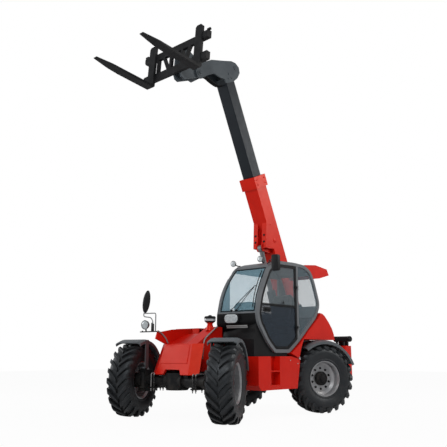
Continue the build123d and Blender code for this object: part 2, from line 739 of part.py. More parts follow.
cabShell = cabLoft(0, 0) - cabLoft(cabWall, cabWall)
glassShell = cabLoft(14, 14) - cabLoft(14 + glassThickness, 14 + glassThickness)
cabSplitZ = 1770
roofSplitZ = 2690
windowTopZ = 2600
postY = 870
postWidth = 50
doorRearY = postY - postWidth / 2 - doorGap
hingeX = cabOuterX + 12
hingeY = doorRearY + 3
hingeZs = (1560, 2290)
hingePinRadius = 6
hingeRadius = 12
windscreenBox = boxBetween(cabInnerX + 50, cabOuterX - 50, -700, 300, cabSplitZ + 30, windowTopZ)
rearWindowBox = boxBetween(cabInnerX + 50, cabOuterX - 50, 1200, 1800, cabSplitZ + 220, windowTopZ - 30)
rightWindowBox = boxBetween(cabInnerX - 10, cabInnerX + 60, -180, 1300, cabSplitZ + 60, windowTopZ - 60)

rearPost = boxBetween(cabOuterX - 150, cabCutX, postY - postWidth / 2, postY + postWidth / 2, 900, 2900)
doorOpenings = extrude(cabSketch(cabOuterX - cabWall - 1, cabLeft, cabRing), amount=cabWall + 2) - rearPost

with BuildPart() as cab_frame:
    add(cabShell & boxBetween(0, cabCutX, -900, 2000, cabSplitZ, roofSplitZ))
    add(cabShell & boxBetween(cabOuterX - cabWall + seatGap, cabCutX, -900, 2000, 1000, cabSplitZ))
    add(windscreenBox, mode=Mode.SUBTRACT)
    add(rearWindowBox, mode=Mode.SUBTRACT)
    add(rightWindowBox, mode=Mode.SUBTRACT)
    add(doorOpenings, mode=Mode.SUBTRACT)
    # ears and pins of the door's hinges on the rear post
    for z in hingeZs:
        for earZ in (z - 34, z + 22):
            with BuildSketch(Plane.XY.offset(earZ)):
                with Locations((hingeX, hingeY)):
                    Circle(hingeRadius)
                with Locations(((hingeX + hingeRadius + cabOuterX - 6) / 2, (hingeY + postY + 20) / 2)):
                    Rectangle(hingeX + hingeRadius - cabOuterX + 6, postY + 20 - hingeY)
            extrude(amount=12)
        with BuildSketch(Plane.XY.offset(z - 34)):
            with Locations((hingeX, hingeY)):
                Circle(hingePinRadius)
        extrude(amount=68)
save(cab_frame, "cab_frame")

with BuildPart() as cab_base:
    add(cabShell & boxBetween(0, cabOuterX - cabWall, -900, 2000, 1000, cabSplitZ))
    with BuildSketch(Plane.XY.offset(tankTopZ + seatGap)):
        with Locations((650, 370)):
            Rectangle(600, 300)
    extrude(amount=cabFloorZ - tankTopZ)
    # the dark skirt between the tank and the cab's front: a side plate and a front plate
    with BuildSketch(sidePlane.offset(cabOuterX - cabWall - skirtThickness)):
        Polygon((-370, tankTopZ + seatGap), (560, tankTopZ + seatGap), (560, cabFloorZ + 10),
                (170, cabFloorZ + 10), (-30, 1280), (-270, 1600), (-310, 1560), (-370, 1330), align=None)
    extrude(amount=skirtThickness)
    with BuildSketch(sidePlane.offset(cabInnerX + 40)):
        Polygon((-370, tankTopZ + seatGap), (-370 + skirtThickness, tankTopZ + seatGap),
                (-370 + skirtThickness, 1325), (-295, 1540), (-250, 1590), (-290, 1600), (-310, 1560),
                (-370, 1330), align=None)
    extrude(amount=cabOuterX - cabWall - cabInnerX - 40)
    add(cabLoft(cabWall, cabWall), mode=Mode.SUBTRACT)
save(cab_base, "cab_base")

with BuildPart() as cab_roof:
    add(cabLoft(0, 0) & boxBetween(0, cabCutX, -900, 2000, roofSplitZ, 2800))
save(cab_roof, "cab_roof")

with BuildPart() as windscreen:
    add(glassShell & boxBetween(cabInnerX + 50 + seatGap, cabOuterX - 50 - seatGap, -700, 300,
                                 cabSplitZ + 30 + seatGap, windowTopZ - seatGap))
save(windscreen, "windscreen")

with BuildPart() as cab_windows:
    add(glassShell & boxBetween(cabInnerX + 50 + seatGap, cabOuterX - 50 - seatGap, 1200, 1800,
                                 cabSplitZ + 220 + seatGap, windowTopZ - 30 - seatGap))
    with BuildSketch(sidePlane.offset(cabInnerX + 14)):
        Polygon((-180 + seatGap, cabSplitZ + 60 + seatGap), (1300 - seatGap, cabSplitZ + 60 + seatGap),
                (1300 - seatGap, windowTopZ - 60 - seatGap), (-180 + seatGap, windowTopZ - 60 - seatGap),
                align=None)
    extrude(amount=glassThickness)
    quarterPane = extrude(cabSketch(cabOuterX - 20, cabLeft, cabRing + seatGap), amount=glassThickness,
                          mode=Mode.PRIVATE)
    add(quarterPane & boxBetween(cabOuterX - 150, cabCutX, postY + postWidth / 2 + seatGap, 2000, 900, 2900))
save(cab_windows, "cab_windows")

# ------------------------------------------------------------------ cab door, hinged at the rear post
doorX = cabOuterX - cabWall + 4
doorThickness = cabWall - 8


def doorSlice(x, thickness, inset):
    """A slice of the door, drawn in by inset and cut off in front of the rear post."""
    rearY = doorRearY - (inset - cabRing - doorGap)
    slab = extrude(cabSketch(x, cabLeft, inset), amount=thickness, mode=Mode.PRIVATE)
    return slab & boxBetween(cabOuterX - 150, cabCutX, -900, rearY, 900, 2900)


doorSlab = doorSlice(doorX, doorThickness, cabRing + doorGap)
doorHole = doorSlice(doorX - 1, doorThickness + 2, cabRing + doorGap + doorStile)
doorRail = boxBetween(cabOuterX - 100, cabOuterX, -400, 1000, 1915, 1950)
glassSlab = doorSlice(doorX + doorThickness / 2, glassThickness, cabRing + doorGap + doorStile)
with BuildPart() as cab_door:
    add(doorSlab - (doorHole - doorRail))
    for z in hingeZs:
        with BuildSketch(Plane.XY.offset(z - 20)):
            with Locations((hingeX, hingeY)):
                Circle(hingeRadius)
            with Locations(((hingeX + hingeRadius + cabOuterX - 6) / 2, hingeY - 30)):
                Rectangle(hingeX + hingeRadius - cabOuterX + 6, 60)
            with Locations((hingeX, hingeY)):
                Circle(hingePinRadius + runningGap, mode=Mode.SUBTRACT)
        extrude(amount=40)
save(cab_door, "cab_door")

with BuildPart() as door_glass:
    add(glassSlab - doorRail)
save(door_glass, "door_glass")

# ------------------------------------------------------------------ inside the cab
floorZ = cabFloorZ + cabWall
with BuildPart() as operator_seat:
    with BuildSketch(Plane.XY.offset(floorZ + 0.3)):
        with Locations((650, 415)):
            Rectangle(380, 210)
    extrude(amount=310)
    with BuildSketch(Plane.XY.offset(floorZ + 310)):
        with Locations((650, 600)):
            RectangleRounded(500, 520, 60)
    extrude(amount=120)
    with BuildSketch(Plane(origin=(650, 850, floorZ + 400), x_dir=(1, 0, 0), z_dir=(0, 0.17, 1))):
        RectangleRounded(480, 120, 50)
    extrude(amount=640)
save(operator_seat, "operator_seat")

with BuildPart() as steering_column:
    with BuildSketch(Plane.XY.offset(floorZ + 0.3)):
        with Locations((650, 255)):
            Rectangle(200, 90)
    extrude(amount=330)
    columnPlane = Plane(origin=(650, 230, floorZ + 300), x_dir=(1, 0, 0), z_dir=(0, 0.25, 1))
    with BuildSketch(columnPlane):
        Circle(34)
    extrude(amount=340)
    with BuildSketch(columnPlane.offset(325)):
        Circle(190)
        Circle(165, mode=Mode.SUBTRACT)
        Rectangle(24, 340)
        Rectangle(340, 24)
    extrude(amount=24)
save(steering_column, "steering_column")

# ------------------------------------------------------------------ boom
halfOuter = outerBoomHeight / 2
with BuildPart() as outer_boom:
    with BuildSketch(boomPlane):
        Polygon((outerBoomTail, boomCentre - halfOuter), (outerBoomTail, boomCentre + halfOuter),
                (outerBoomEnd, boomCentre + halfOuter), (outerBoomEnd, boomCentre - halfOuter), align=None)
    extrude(amount=outerBoomWidth / 2, both=True)
    fillet(outer_boom.edges().filter_by(Axis((0, 0, 0), boomPlane.x_dir)), boomEdgeRadius)
    with BuildSketch(boomPlane):
        Polygon((outerBoomEnd - collarLength, boomCentre - collarHeight / 2),
                (outerBoomEnd - collarLength, boomCentre + collarHeight / 2),
                (outerBoomEnd, boomCentre + collarHeight / 2), (outerBoomEnd, boomCentre - collarHeight / 2),
                align=None)
    extrude(amount=collarWidth / 2, both=True)
    # the lug under the boom takes the lift cylinder's eye between its two plates
    for x in (-liftLugOuterX, liftLugInnerX):
        with BuildSketch(Plane(origin=(x, boomPivotY, boomPivotZ), x_dir=boomPlane.x_dir, z_dir=(-1, 0, 0))):
            Polygon((liftLugS - 180, boomCentre - halfOuter), (liftLugS + 330, boomCentre - halfOuter),
                    (liftLugS + 60, liftLugT - 50), (liftLugS - 50, liftLugT - 50), align=None)
        extrude(amount=-(liftLugOuterX - liftLugInnerX))
    # side plates flush with the boom and a slotted front face close the bracket round the lug
    boomFoot = boomCentre - halfOuter
    bracketTop = (2015, boomFoot + 20)
    bracketTip = (1515, -345)
    for x in (-outerBoomWidth / 2, outerBoomWidth / 2 - bracketPlate):
        with BuildSketch(Plane(origin=(x, boomPivotY, boomPivotZ), x_dir=boomPlane.x_dir, z_dir=(-1, 0, 0))):
            Polygon((1405, boomFoot + 20), bracketTop, bracketTip, (1478, -275), align=None)
        extrude(amount=-bracketPlate)
    for x in (-outerBoomWidth / 2 + 1, bracketSlotHalf):
        with BuildSketch(Plane(origin=(x, boomPivotY, boomPivotZ), x_dir=boomPlane.x_dir, z_dir=(-1, 0, 0))):
            Polygon(bracketTop, bracketTip, (bracketTip[0] + 12, bracketTip[1] + bracketPlate),
                    (bracketTop[0] - 12, bracketTop[1] + bracketPlate), align=None)
        extrude(amount=-(outerBoomWidth / 2 - 1 - bracketSlotHalf))
    # the hollow that the inner boom slides in
    with BuildSketch(boomPlane):
        Polygon((outerBoomTail + 400, boomCentre - halfOuter + outerBoomWall),
                (outerBoomTail + 400, boomCentre + halfOuter - outerBoomWall),
                (outerBoomEnd + 1, boomCentre + halfOuter - outerBoomWall),
                (outerBoomEnd + 1, boomCentre - halfOuter + outerBoomWall), align=None)
    extrude(amount=outerBoomWidth / 2 - outerBoomWall, both=True, mode=Mode.SUBTRACT)
    # wear pads at the mouth
    padHeight = innerBoomHeight / 2 + slideGap
    padWidth = innerBoomWidth / 2 + slideGap
    with BuildSketch(boomPlane):
        Polygon((outerBoomEnd - 120, boomCentre - halfOuter + 5),
                (outerBoomEnd - 120, boomCentre + halfOuter - 5),
                (outerBoomEnd - 10, boomCentre + halfOuter - 5),
                (outerBoomEnd - 10, boomCentre - halfOuter + 5), align=None)
    extrude(amount=outerBoomWidth / 2 - 5, both=True)
    with BuildSketch(boomPlane):
        Polygon((outerBoomEnd - 121, boomCentre - padHeight), (outerBoomEnd - 121, boomCentre + padHeight),
                (outerBoomEnd, boomCentre + padHeight), (outerBoomEnd, boomCentre - padHeight), align=None)
    extrude(amount=padWidth, both=True, mode=Mode.SUBTRACT)
    # the pivot pin runs out through both chassis ears
    with BuildSketch(boomPlane):
        Circle(boomPinRadius)
    extrude(amount=railOuterX + 18, both=True)
save(outer_boom, "outer_boom")

with BuildPart() as inner_boom:
    with BuildSketch(boomPlane):
        Polygon((innerBoomStart, boomCentre - innerBoomHeight / 2),
                (innerBoomStart, boomCentre + innerBoomHeight / 2),
                (innerBoomEnd, boomCentre + innerBoomHeight / 2),
                (innerBoomEnd, boomCentre - innerBoomHeight / 2), align=None)
    extrude(amount=innerBoomWidth / 2, both=True)
    fillet(inner_boom.edges().filter_by(Axis((0, 0, 0), boomPlane.x_dir)), boomEdgeRadius)
    with BuildSketch(boomPlane):
        Polygon((innerBoomStart - 1, boomCentre - innerBoomHeight / 2 + innerBoomWall),
                (innerBoomStart - 1, boomCentre + innerBoomHeight / 2 - innerBoomWall),
                (innerBoomEnd - 20, boomCentre + innerBoomHeight / 2 - innerBoomWall),
                (innerBoomEnd - 20, boomCentre - innerBoomHeight / 2 + innerBoomWall), align=None)
    extrude(amount=innerBoomWidth / 2 - innerBoomWall, both=True, mode=Mode.SUBTRACT)
save(inner_boom, "inner_boom")

# ------------------------------------------------------------------ boom head
# side plate corners: how far past the inner boom's end, and how high above the pivot line
headCorners = [(-75, 150), (-15, 320), (80, 440), (190, 462), (290, 394), (340, 276), (370, -9), (412, -341),
               (380, -600), (310, -800), (240, -880), (130, -880), (80, -800), (130, -560), (140, -366),
               (40, -207), (5, -90), (-75, -85)]
backPlateCorners = [(60, 400), (80, 440), (190, 462), (290, 394), (275, 375), (180, 435), (90, 415)]
headOutline = [(innerBoomEnd + past, above) for past, above in headCorners]
backPlateOutline = [(innerBoomEnd + past, above) for past, above in backPlateCorners]
with BuildPart() as boom_head:
    for x in (-headPlateInnerX - headPlateThickness, headPlateInnerX):
        with BuildSketch(Plane(origin=(x, boomPivotY, boomPivotZ), x_dir=boomPlane.x_dir, z_dir=(-1, 0, 0))):
            Polygon(*headOutline, align=None)
        extrude(amount=-headPlateThickness)
    # end plate on the inner boom that carries both side plates
    with BuildSketch(boomPlane):
        Polygon((innerBoomEnd, -78), (innerBoomEnd, 198), (innerBoomEnd + 22, 198), (innerBoomEnd + 22, -78),
                align=None)
    extrude(amount=headPlateInnerX + 1, both=True)
    # curved back plate between the side plates
    with BuildSketch(boomPlane):
        Polygon(*backPlateOutline, align=None)
    extrude(amount=headPlateInnerX + 1, both=True)
    # inner boom passes between the plates
    with BuildSketch(boomPlane):
        Polygon((innerBoomEnd - 160, boomCentre - innerBoomHeight / 2 - slideGap),
                (innerBoomEnd - 160, boomCentre + innerBoomHeight / 2 + slideGap),
                (innerBoomEnd, boomCentre + innerBoomHeight / 2 + slideGap),
                (innerBoomEnd, boomCentre - innerBoomHeight / 2 - slideGap), align=None)
    extrude(amount=innerBoomWidth / 2, both=True, mode=Mode.SUBTRACT)
    # carriage pin and the pin of the tilt cylinder
    with BuildSketch(boomPlane):
        with Locations((carriagePivotS, carriagePivotT)):
            Circle(carriagePinRadius)
    extrude(amount=headPlateInnerX + headPlateThickness + 12, both=True)
    with BuildSketch(boomPlane):
        with Locations((tiltBarrelPinS, tiltBarrelPinT)):
            Circle(tiltPinRadius)
    extrude(amount=headPlateInnerX + headPlateThickness + 8, both=True)
save(boom_head, "boom_head")

# ------------------------------------------------------------------ tool carrier and fork carriage
carriageY, carriageZ = boomPoint(carriagePivotS, carriagePivotT)
heelY = carriageY - heelAhead
heelZ = carriageZ - heelDrop
tiltRodY = carriageY - tiltPinForward
tiltRodZ = carriageZ + tiltPinRise
lean = radians(forkTilt)
# the carriage plane: local x is machine +X, local y goes up the leaning fork face, origin at the fork heel
carriagePlane = Plane(origin=(0, heelY, heelZ), x_dir=(1, 0, 0), z_dir=(0, -cos(lean), sin(lean)))
carrierFace = Plane(origin=(0, heelY, heelZ), x_dir=(0, cos(lean), -sin(lean)), z_dir=(1, 0, 0))
# local x of carrierFace runs backward from the fork face and local y runs up it


def onCarrier(y, z):
    """A point of the Y-Z plane in the carrier face's own coordinates."""
    p = carrierFace.to_local_coords(Vector(0, y, z))
    return (p.X, p.Y)


pivotLocal = onCarrier(carriageY, carriageZ)
tiltRodLocal = onCarrier(tiltRodY, tiltRodZ)
frameBack = shankThickness + slideGap + carriageFrameDepth
lowBarFoot = lowBarY - lowBarHeight / 2
topBarHead = topBarY + topBarHeight / 2
with BuildPart() as tool_carrier:
    for x in (-carrierOuterX, carrierInnerX):
        with BuildSketch(Plane(origin=(x, heelY, heelZ), x_dir=carrierFace.x_dir, z_dir=(1, 0, 0))):
            Polygon((frameBack, lowBarFoot), (frameBack, topBarHead - 20), (frameBack + 60, topBarHead),
                    (tiltRodLocal[0] + 30, tiltRodLocal[1] + 60),
                    (tiltRodLocal[0] + 60, tiltRodLocal[1] + 10), (pivotLocal[0] + 70, pivotLocal[1] + 60),
                    (pivotLocal[0] + 75, pivotLocal[1] - 50), (pivotLocal[0] + 10, pivotLocal[1] - 80),
                    (frameBack + 110, lowBarFoot - 90), (frameBack + 30, lowBarFoot - 70), align=None)
            with Locations(pivotLocal):
                Circle(carriagePinRadius + runningGap, mode=Mode.SUBTRACT)
            with Locations(tiltRodLocal):
                Circle(tiltPinRadius, mode=Mode.SUBTRACT)
        extrude(amount=carrierOuterX - carrierInnerX)
    # cross plates behind the carriage frame join the two side plates
    with BuildSketch(carrierFace):
        for y in (lowBarY, topBarY):
            with Locations((frameBack + 15, y)):
                Rectangle(30, 80)
    extrude(amount=carrierInnerX + 1, both=True)
save(tool_carrier, "tool_carrier")

with BuildPart() as fork_carriage:
    framePlane = carriagePlane.offset(-frameBack)
    barEnd = forkSpread / 2 + forkWidth / 2 + barOverhang
    with BuildSketch(framePlane):
        with Locations((0, lowBarY)):
            Rectangle(2 * barEnd, lowBarHeight)
        with Locations((0, topBarY)):
            Rectangle(2 * barEnd, topBarHeight)
        for x in (-barPostX, -midPostX, midPostX, barPostX):
            with Locations((x, (lowBarY + topBarY) / 2)):
                Rectangle(barPostWidth, topBarY - lowBarY)
        for side in (-1, 1):
            Polygon((side * midPostX, lowBarY), (side * (midPostX + 60), lowBarY),
                    (side * (strutTopX + 60), topBarY), (side * strutTopX, topBarY), align=None)
    extrude(amount=carriageFrameDepth)
    # a stop block stands on each bar's end, outside the fork's shank
    stopInner = barEnd - barOverhang + barEndGap
    for side in (-1, 1):
        for barY, barHeight in ((lowBarY, lowBarHeight), (topBarY, topBarHeight)):
            low = barY - barHeight / 2
            high = barY + barHeight / 2
            with BuildSketch(carrierFace.offset(side * (stopInner + barEnd) / 2)):
                Polygon((frameBack - 10, low), (25, low), (10, low + 30), (10, high - 30), (25, high),
                        (frameBack - 10, high), align=None)
            extrude(amount=(barEnd - stopInner) / 2, both=True)
        # the fork bar's round end stands above the upper stop
        with BuildSketch(carrierFace.offset(side * (barEnd - 40))):
            with Locations((frameBack / 2, topBarHead + barKnobRadius - 6)):
                Circle(barKnobRadius)
        extrude(amount=side * 64)
save(fork_carriage, "fork_carriage")

bladePlane = Plane(origin=(0, heelY, heelZ), x_dir=(1, 0, 0), z_dir=carriagePlane.y_dir)
with BuildPart() as forks:
    for side in (-1, 1):
        forkX = side * forkSpread / 2
        with BuildSketch(Plane(origin=(forkX, heelY, heelZ), x_dir=carrierFace.x_dir, z_dir=(1, 0, 0))):
            Polygon((shankThickness, shankHeight), (shankThickness, 34), (shankThickness - 34, 0), (-40, 0),
                    (-forkLength * 0.55, 4), (-forkLength, forkThickness - 12), (-forkLength, forkThickness),
                    (-25, forkThickness), (0, forkThickness + 25), (0, shankHeight), align=None)
        extrude(amount=forkWidth / 2, both=True)
        for edge in (-1, 1):
            # the blade narrows toward its tip
            outside = forkX + edge * (forkWidth / 2 + 1)
            with BuildSketch(bladePlane.offset(-forkThickness)):
                Polygon((outside, -forkLength + forkTaper), (outside, -forkLength - 1),
                        (forkX + edge * forkTipWidth / 2, -forkLength - 1), align=None)
            extrude(amount=3 * forkThickness, mode=Mode.SUBTRACT)
            # the shank's top corners are cut off
            with BuildSketch(carriagePlane.offset(shankThickness)):
                Polygon((outside, shankHeight - shankTopCut), (outside, shankHeight + 1),
                        (outside - edge * shankTopCut, shankHeight + 1), align=None)
            extrude(amount=-3 * shankThickness, mode=Mode.SUBTRACT)
save(forks, "forks")

# ------------------------------------------------------------------ cylinders
liftLugY, liftLugZ = boomPoint(liftLugS, liftLugT)
tiltBaseY, tiltBaseZ = boomPoint(tiltBarrelPinS, tiltBarrelPinT)
cylinders = [
    # name, foot Y Z, eye Y Z, barrel, rod and pin radius, barrel length, eye half width and radius
    ("lift", liftBaseY, liftBaseZ, liftLugY, liftLugZ, liftBarrelRadius, liftRodRadius, liftPinRadius, 1180,
     liftEyeHalfWidth, 66),
    ("tilt", tiltBaseY, tiltBaseZ, tiltRodY, tiltRodZ, tiltBarrelRadius, tiltRodRadius, tiltPinRadius, 745,
     tiltEyeHalfWidth, 50),
]
for (name, footY, footZ, eyeY, eyeZ, barrelRadius, rodRadius, pinRadius, barrelLength, eyeHalf,
     eyeRadius) in cylinders:
    length = hypot(eyeY - footY, eyeZ - footZ)
    along = ((eyeY - footY) / length, (eyeZ - footZ) / length)
    acrossPlane = Plane(origin=(0, footY, footZ), x_dir=(0, along[0], along[1]), z_dir=(1, 0, 0))
    borePlane = Plane(origin=(0, footY, footZ), x_dir=(1, 0, 0), z_dir=(0, along[0], along[1]))
    with BuildPart() as barrel:
        with BuildSketch(borePlane.offset(eyeRadius - 12)):
            Circle(barrelRadius)
        extrude(amount=barrelLength - eyeRadius + 12)
        with BuildSketch(acrossPlane):
            Circle(eyeRadius)
        extrude(amount=eyeHalf, both=True)
        with BuildSketch(acrossPlane):
            Circle(pinRadius + runningGap)
        extrude(amount=barrelRadius + 20, both=True, mode=Mode.SUBTRACT)
        with BuildSketch(borePlane.offset(eyeRadius + 30)):
            Circle(rodRadius + runningGap)
        extrude(amount=barrelLength, mode=Mode.SUBTRACT)
    save(barrel, f"{name}_cylinder_barrel")
    with BuildPart() as rod:
        with BuildSketch(borePlane.offset(rodInside[name])):
            Circle(rodRadius)
        extrude(amount=length - eyeRadius + 8 - rodInside[name])
        with BuildSketch(Plane(origin=(0, eyeY, eyeZ), x_dir=(0, along[0], along[1]), z_dir=(1, 0, 0))):
            Circle(eyeRadius)
        extrude(amount=eyeHalf, both=True)
        with BuildSketch(Plane(origin=(0, eyeY, eyeZ), x_dir=(0, along[0], along[1]), z_dir=(1, 0, 0))):
            Circle(pinRadius + 1)
        extrude(amount=eyeHalf + 1, both=True, mode=Mode.SUBTRACT)
    save(rod, f"{name}_cylinder_rod")
    print(name, "cylinder", round(length), "mm at", round(degrees(atan2(along[1], -along[0])), 2), "degrees")

# ------------------------------------------------------------------ small fittings
frontLampY = -1310
with BuildPart() as front_bracket:
    # bar on the right wall's front corner, with the mirror's bent rod
    with BuildSketch(Plane.XY.offset(1455.3)):
        with Locations((-520, frontLampY + 15)):
            Rectangle(280, 50)
    extrude(amount=12)
    with BuildSketch(Plane.XY.offset(1460)):
        with Locations((-400, frontLampY + 15)):
            Circle(9)
    extrude(amount=340)
    with BuildSketch(Plane.YZ.offset(-610)):
        with Locations((frontLampY + 15, 1791)):
            Circle(9)
    extrude(amount=210)
save(front_bracket, "front_bracket")

with BuildPart() as lamps:
    with BuildSketch(Plane.XZ.offset(-frontLampY - 60)):
        with Locations((-590, 1553)):
            Circle(85)
    extrude(amount=110)
    with BuildSketch(Plane.XZ.offset(380)):
        with Locations((500, 1665)):
            RectangleRounded(240, 150, 60)
    extrude(amount=100)
    add(cabLoft(0, 0), mode=Mode.SUBTRACT)
    for x, z in ((300, 2735), (930, 2730)):
        with BuildSketch(Plane.XZ.offset(-160)):
            with Locations((x, z)):
                Circle(50)
        extrude(amount=80)
        with BuildSketch(Plane.XY.offset(2600)):
            with Locations((x, 150)):
                Rectangle(30, 20)
        extrude(amount=100)
    add(cabLoft(0, 0), mode=Mode.SUBTRACT)
    with BuildSketch(Plane.YZ.offset(weightWidth / 2 - 220)):
        with Locations((tailY + 70, 1380)):
            Circle(34)
    extrude(amount=350)
    with BuildSketch(Plane.XY.offset(weightTopZ + 0.3)):
        with Locations((weightWidth / 2 - 160, tailY + 70)):
            Circle(20)
    extrude(amount=130)
save(lamps, "lamps")

with BuildPart() as mirrors:
    with BuildSketch(Plane.XZ.offset(-frontLampY - 6)):
        with Locations((-610, 1985)):
            Ellipse(60, 205)
    extrude(amount=45)
    with BuildSketch(Plane.XZ.offset(-110)):
        with Locations((cabOuterX + 90, 2710)):
            RectangleRounded(120, 250, 30)
    extrude(amount=70)
    with BuildSketch(Plane.YZ.offset(cabOuterX - 50)):
        with Locations((75, 2640)):
            Circle(11)
    extrude(amount=90)
    add(cabLoft(0, 0), mode=Mode.SUBTRACT)
save(mirrors, "mirrors")

with BuildPart() as air_precleaner:
    # neck, cone, bowl and cap, turned about the upright axis
    cleanerFoot = (cleanerX, cleanerY, cleanerBossZ + seatGap)
    with BuildSketch(Plane(origin=cleanerFoot, x_dir=(1, 0, 0), z_dir=(0, -1, 0))):
        Polygon((0, 0), (cleanerNeckRadius, 0), (cleanerNeckRadius, 30), (88, 62), (94, 72), (94, 112),
                (100, 118), (100, 140), (86, 156), (30, 162), (26, 176), (0, 176), align=None)
    revolve(axis=Axis((cleanerX, cleanerY, 0), (0, 0, 1)), revolution_arc=360)
save(air_precleaner, "air_precleaner")

with BuildPart() as cab_rear_housing:
    with BuildSketch(sidePlane.offset(420)):
        Polygon((1250, 2765), (1604, 2800), (2010, 2755), (2080, 2640), (1740, 2550), (1500, 2520),
                (1450, 2600), (1250, 2640), align=None)
    extrude(amount=560)
    add(cabLoft(0, 0), mode=Mode.SUBTRACT)
save(cab_rear_housing, "cab_rear_housing")
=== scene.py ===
import json
import math

import bmesh
import bpy
from mathutils import Matrix, Vector


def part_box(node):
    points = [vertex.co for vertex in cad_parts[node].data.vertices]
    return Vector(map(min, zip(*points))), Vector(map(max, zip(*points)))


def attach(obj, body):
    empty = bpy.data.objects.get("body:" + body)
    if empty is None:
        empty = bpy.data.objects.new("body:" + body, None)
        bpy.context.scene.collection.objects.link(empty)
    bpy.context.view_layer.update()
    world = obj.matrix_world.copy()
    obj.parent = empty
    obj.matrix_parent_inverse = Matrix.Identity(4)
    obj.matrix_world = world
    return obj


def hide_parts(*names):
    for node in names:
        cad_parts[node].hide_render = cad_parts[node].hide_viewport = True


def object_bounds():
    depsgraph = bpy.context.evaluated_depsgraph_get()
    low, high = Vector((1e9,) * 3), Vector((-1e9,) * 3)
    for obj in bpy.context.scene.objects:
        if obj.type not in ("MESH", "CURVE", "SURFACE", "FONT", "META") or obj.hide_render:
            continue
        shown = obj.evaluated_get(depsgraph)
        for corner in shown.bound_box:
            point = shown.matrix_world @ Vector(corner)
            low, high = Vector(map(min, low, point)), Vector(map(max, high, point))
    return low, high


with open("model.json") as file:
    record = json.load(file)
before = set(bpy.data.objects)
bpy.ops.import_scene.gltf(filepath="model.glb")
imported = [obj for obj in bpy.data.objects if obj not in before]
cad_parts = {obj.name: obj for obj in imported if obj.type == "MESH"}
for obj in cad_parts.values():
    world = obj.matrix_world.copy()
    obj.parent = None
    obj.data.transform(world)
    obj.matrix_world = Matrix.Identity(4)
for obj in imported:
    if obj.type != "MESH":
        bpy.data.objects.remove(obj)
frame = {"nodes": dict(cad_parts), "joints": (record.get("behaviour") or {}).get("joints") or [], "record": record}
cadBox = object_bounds()
scene = bpy.context.scene
corners = ["front_left", "front_right", "rear_left", "rear_right"]
joints = {joint["name"]: joint for joint in frame["joints"]}
print("frame loaded")


# materials: each is a Principled shader fed by noise for colour, wear, roughness and bump
def startMaterial(name):
    material = bpy.data.materials.new(name)
    material.use_nodes = True
    tree = material.node_tree
    shader = next(n for n in tree.nodes if n.type == "BSDF_PRINCIPLED")
    coords = tree.nodes.new("ShaderNodeTexCoord")
    return material, tree, shader, coords.outputs["Object"]


def noiseNode(tree, vector, scale, detail=4.0, rough=0.55, stretch=(1, 1, 1)):
    mapping = tree.nodes.new("ShaderNodeMapping")
    mapping.inputs["Scale"].default_value = stretch
    tree.links.new(vector, mapping.inputs["Vector"])
    noise = tree.nodes.new("ShaderNodeTexNoise")
    noise.inputs["Scale"].default_value = scale
    noise.inputs["Detail"].default_value = detail
    noise.inputs["Roughness"].default_value = rough
    tree.links.new(mapping.outputs["Vector"], noise.inputs["Vector"])
    return noise.outputs["Fac"]


def rampNode(tree, value, low, high, lowOut=0.0, highOut=1.0):
    ramp = tree.nodes.new("ShaderNodeMapRange")
    ramp.inputs["From Min"].default_value = low
    ramp.inputs["From Max"].default_value = high
    ramp.inputs["To Min"].default_value = lowOut
    ramp.inputs["To Max"].default_value = highOut
    tree.links.new(value, ramp.inputs["Value"])
    return ramp.outputs["Result"]


def mixColour(tree, factor, first, second):
    mix = tree.nodes.new("ShaderNodeMix")
    mix.data_type = "RGBA"
    for socket, value in ((mix.inputs[6], first), (mix.inputs[7], second)):
        if isinstance(value, tuple):
            socket.default_value = (*value, 1.0)
        else:
            tree.links.new(value, socket)
    tree.links.new(factor, mix.inputs[0])
    return mix.outputs[2]


def multiply(tree, first, second):
    node = tree.nodes.new("ShaderNodeMath")
    node.operation = "MULTIPLY"
    tree.links.new(first, node.inputs[0])
    if isinstance(second, (int, float)):
        node.inputs[1].default_value = second
    else:
        tree.links.new(second, node.inputs[1])
    return node.outputs[0]


def bumpNode(tree, height, strength, distance):
    bump = tree.nodes.new("ShaderNodeBump")
    bump.inputs["Strength"].default_value = strength
    bump.inputs["Distance"].default_value = distance
    tree.links.new(height, bump.inputs["Height"])
    return bump.outputs["Normal"]


def heightOf(tree, place):
    split = tree.nodes.new("ShaderNodeSeparateXYZ")
    tree.links.new(place, split.inputs[0])
    return split.outputs["Z"]


dustColour = (0.30, 0.25, 0.20)


def surface(name, colour, tint, rough=(0.3, 0.45), metallic=0.0, coat=0.0, grain=300.0, bump=0.05, depth=0.0004,
            dust=0.25, dustTop=1.1, scale=3.0, specular=0.14, specularTint=(1, 1, 1)):
    material, tree, shader, place = startMaterial(name)
    broad = rampNode(tree, noiseNode(tree, place, scale), 0.35, 0.65)
    base = mixColour(tree, broad, colour, tint)
    # dust gathers low on the machine, in patches
    low = rampNode(tree, heightOf(tree, place), dustTop, 0.0)
    patches = rampNode(tree, noiseNode(tree, place, 9.0, 8.0, 0.7), 0.42, 0.75)
    dirt = multiply(tree, multiply(tree, low, patches), dust)
    base = mixColour(tree, dirt, base, dustColour)
    tree.links.new(base, shader.inputs["Base Color"])
    roughness = rampNode(tree, noiseNode(tree, place, scale * 4, 6.0), 0.3, 0.7, rough[0], rough[1])
    tree.links.new(roughness, shader.inputs["Roughness"])
    shader.inputs["Metallic"].default_value = metallic
    shader.inputs["Coat Weight"].default_value = coat
    shader.inputs["Coat Roughness"].default_value = 0.12
    shader.inputs["Specular IOR Level"].default_value = specular
    shader.inputs["Specular Tint"].default_value = (*specularTint, 1)
    fine = noiseNode(tree, place, grain, 3.0, 0.6)
    tree.links.new(bumpNode(tree, fine, bump, depth), shader.inputs["Normal"])
    return material


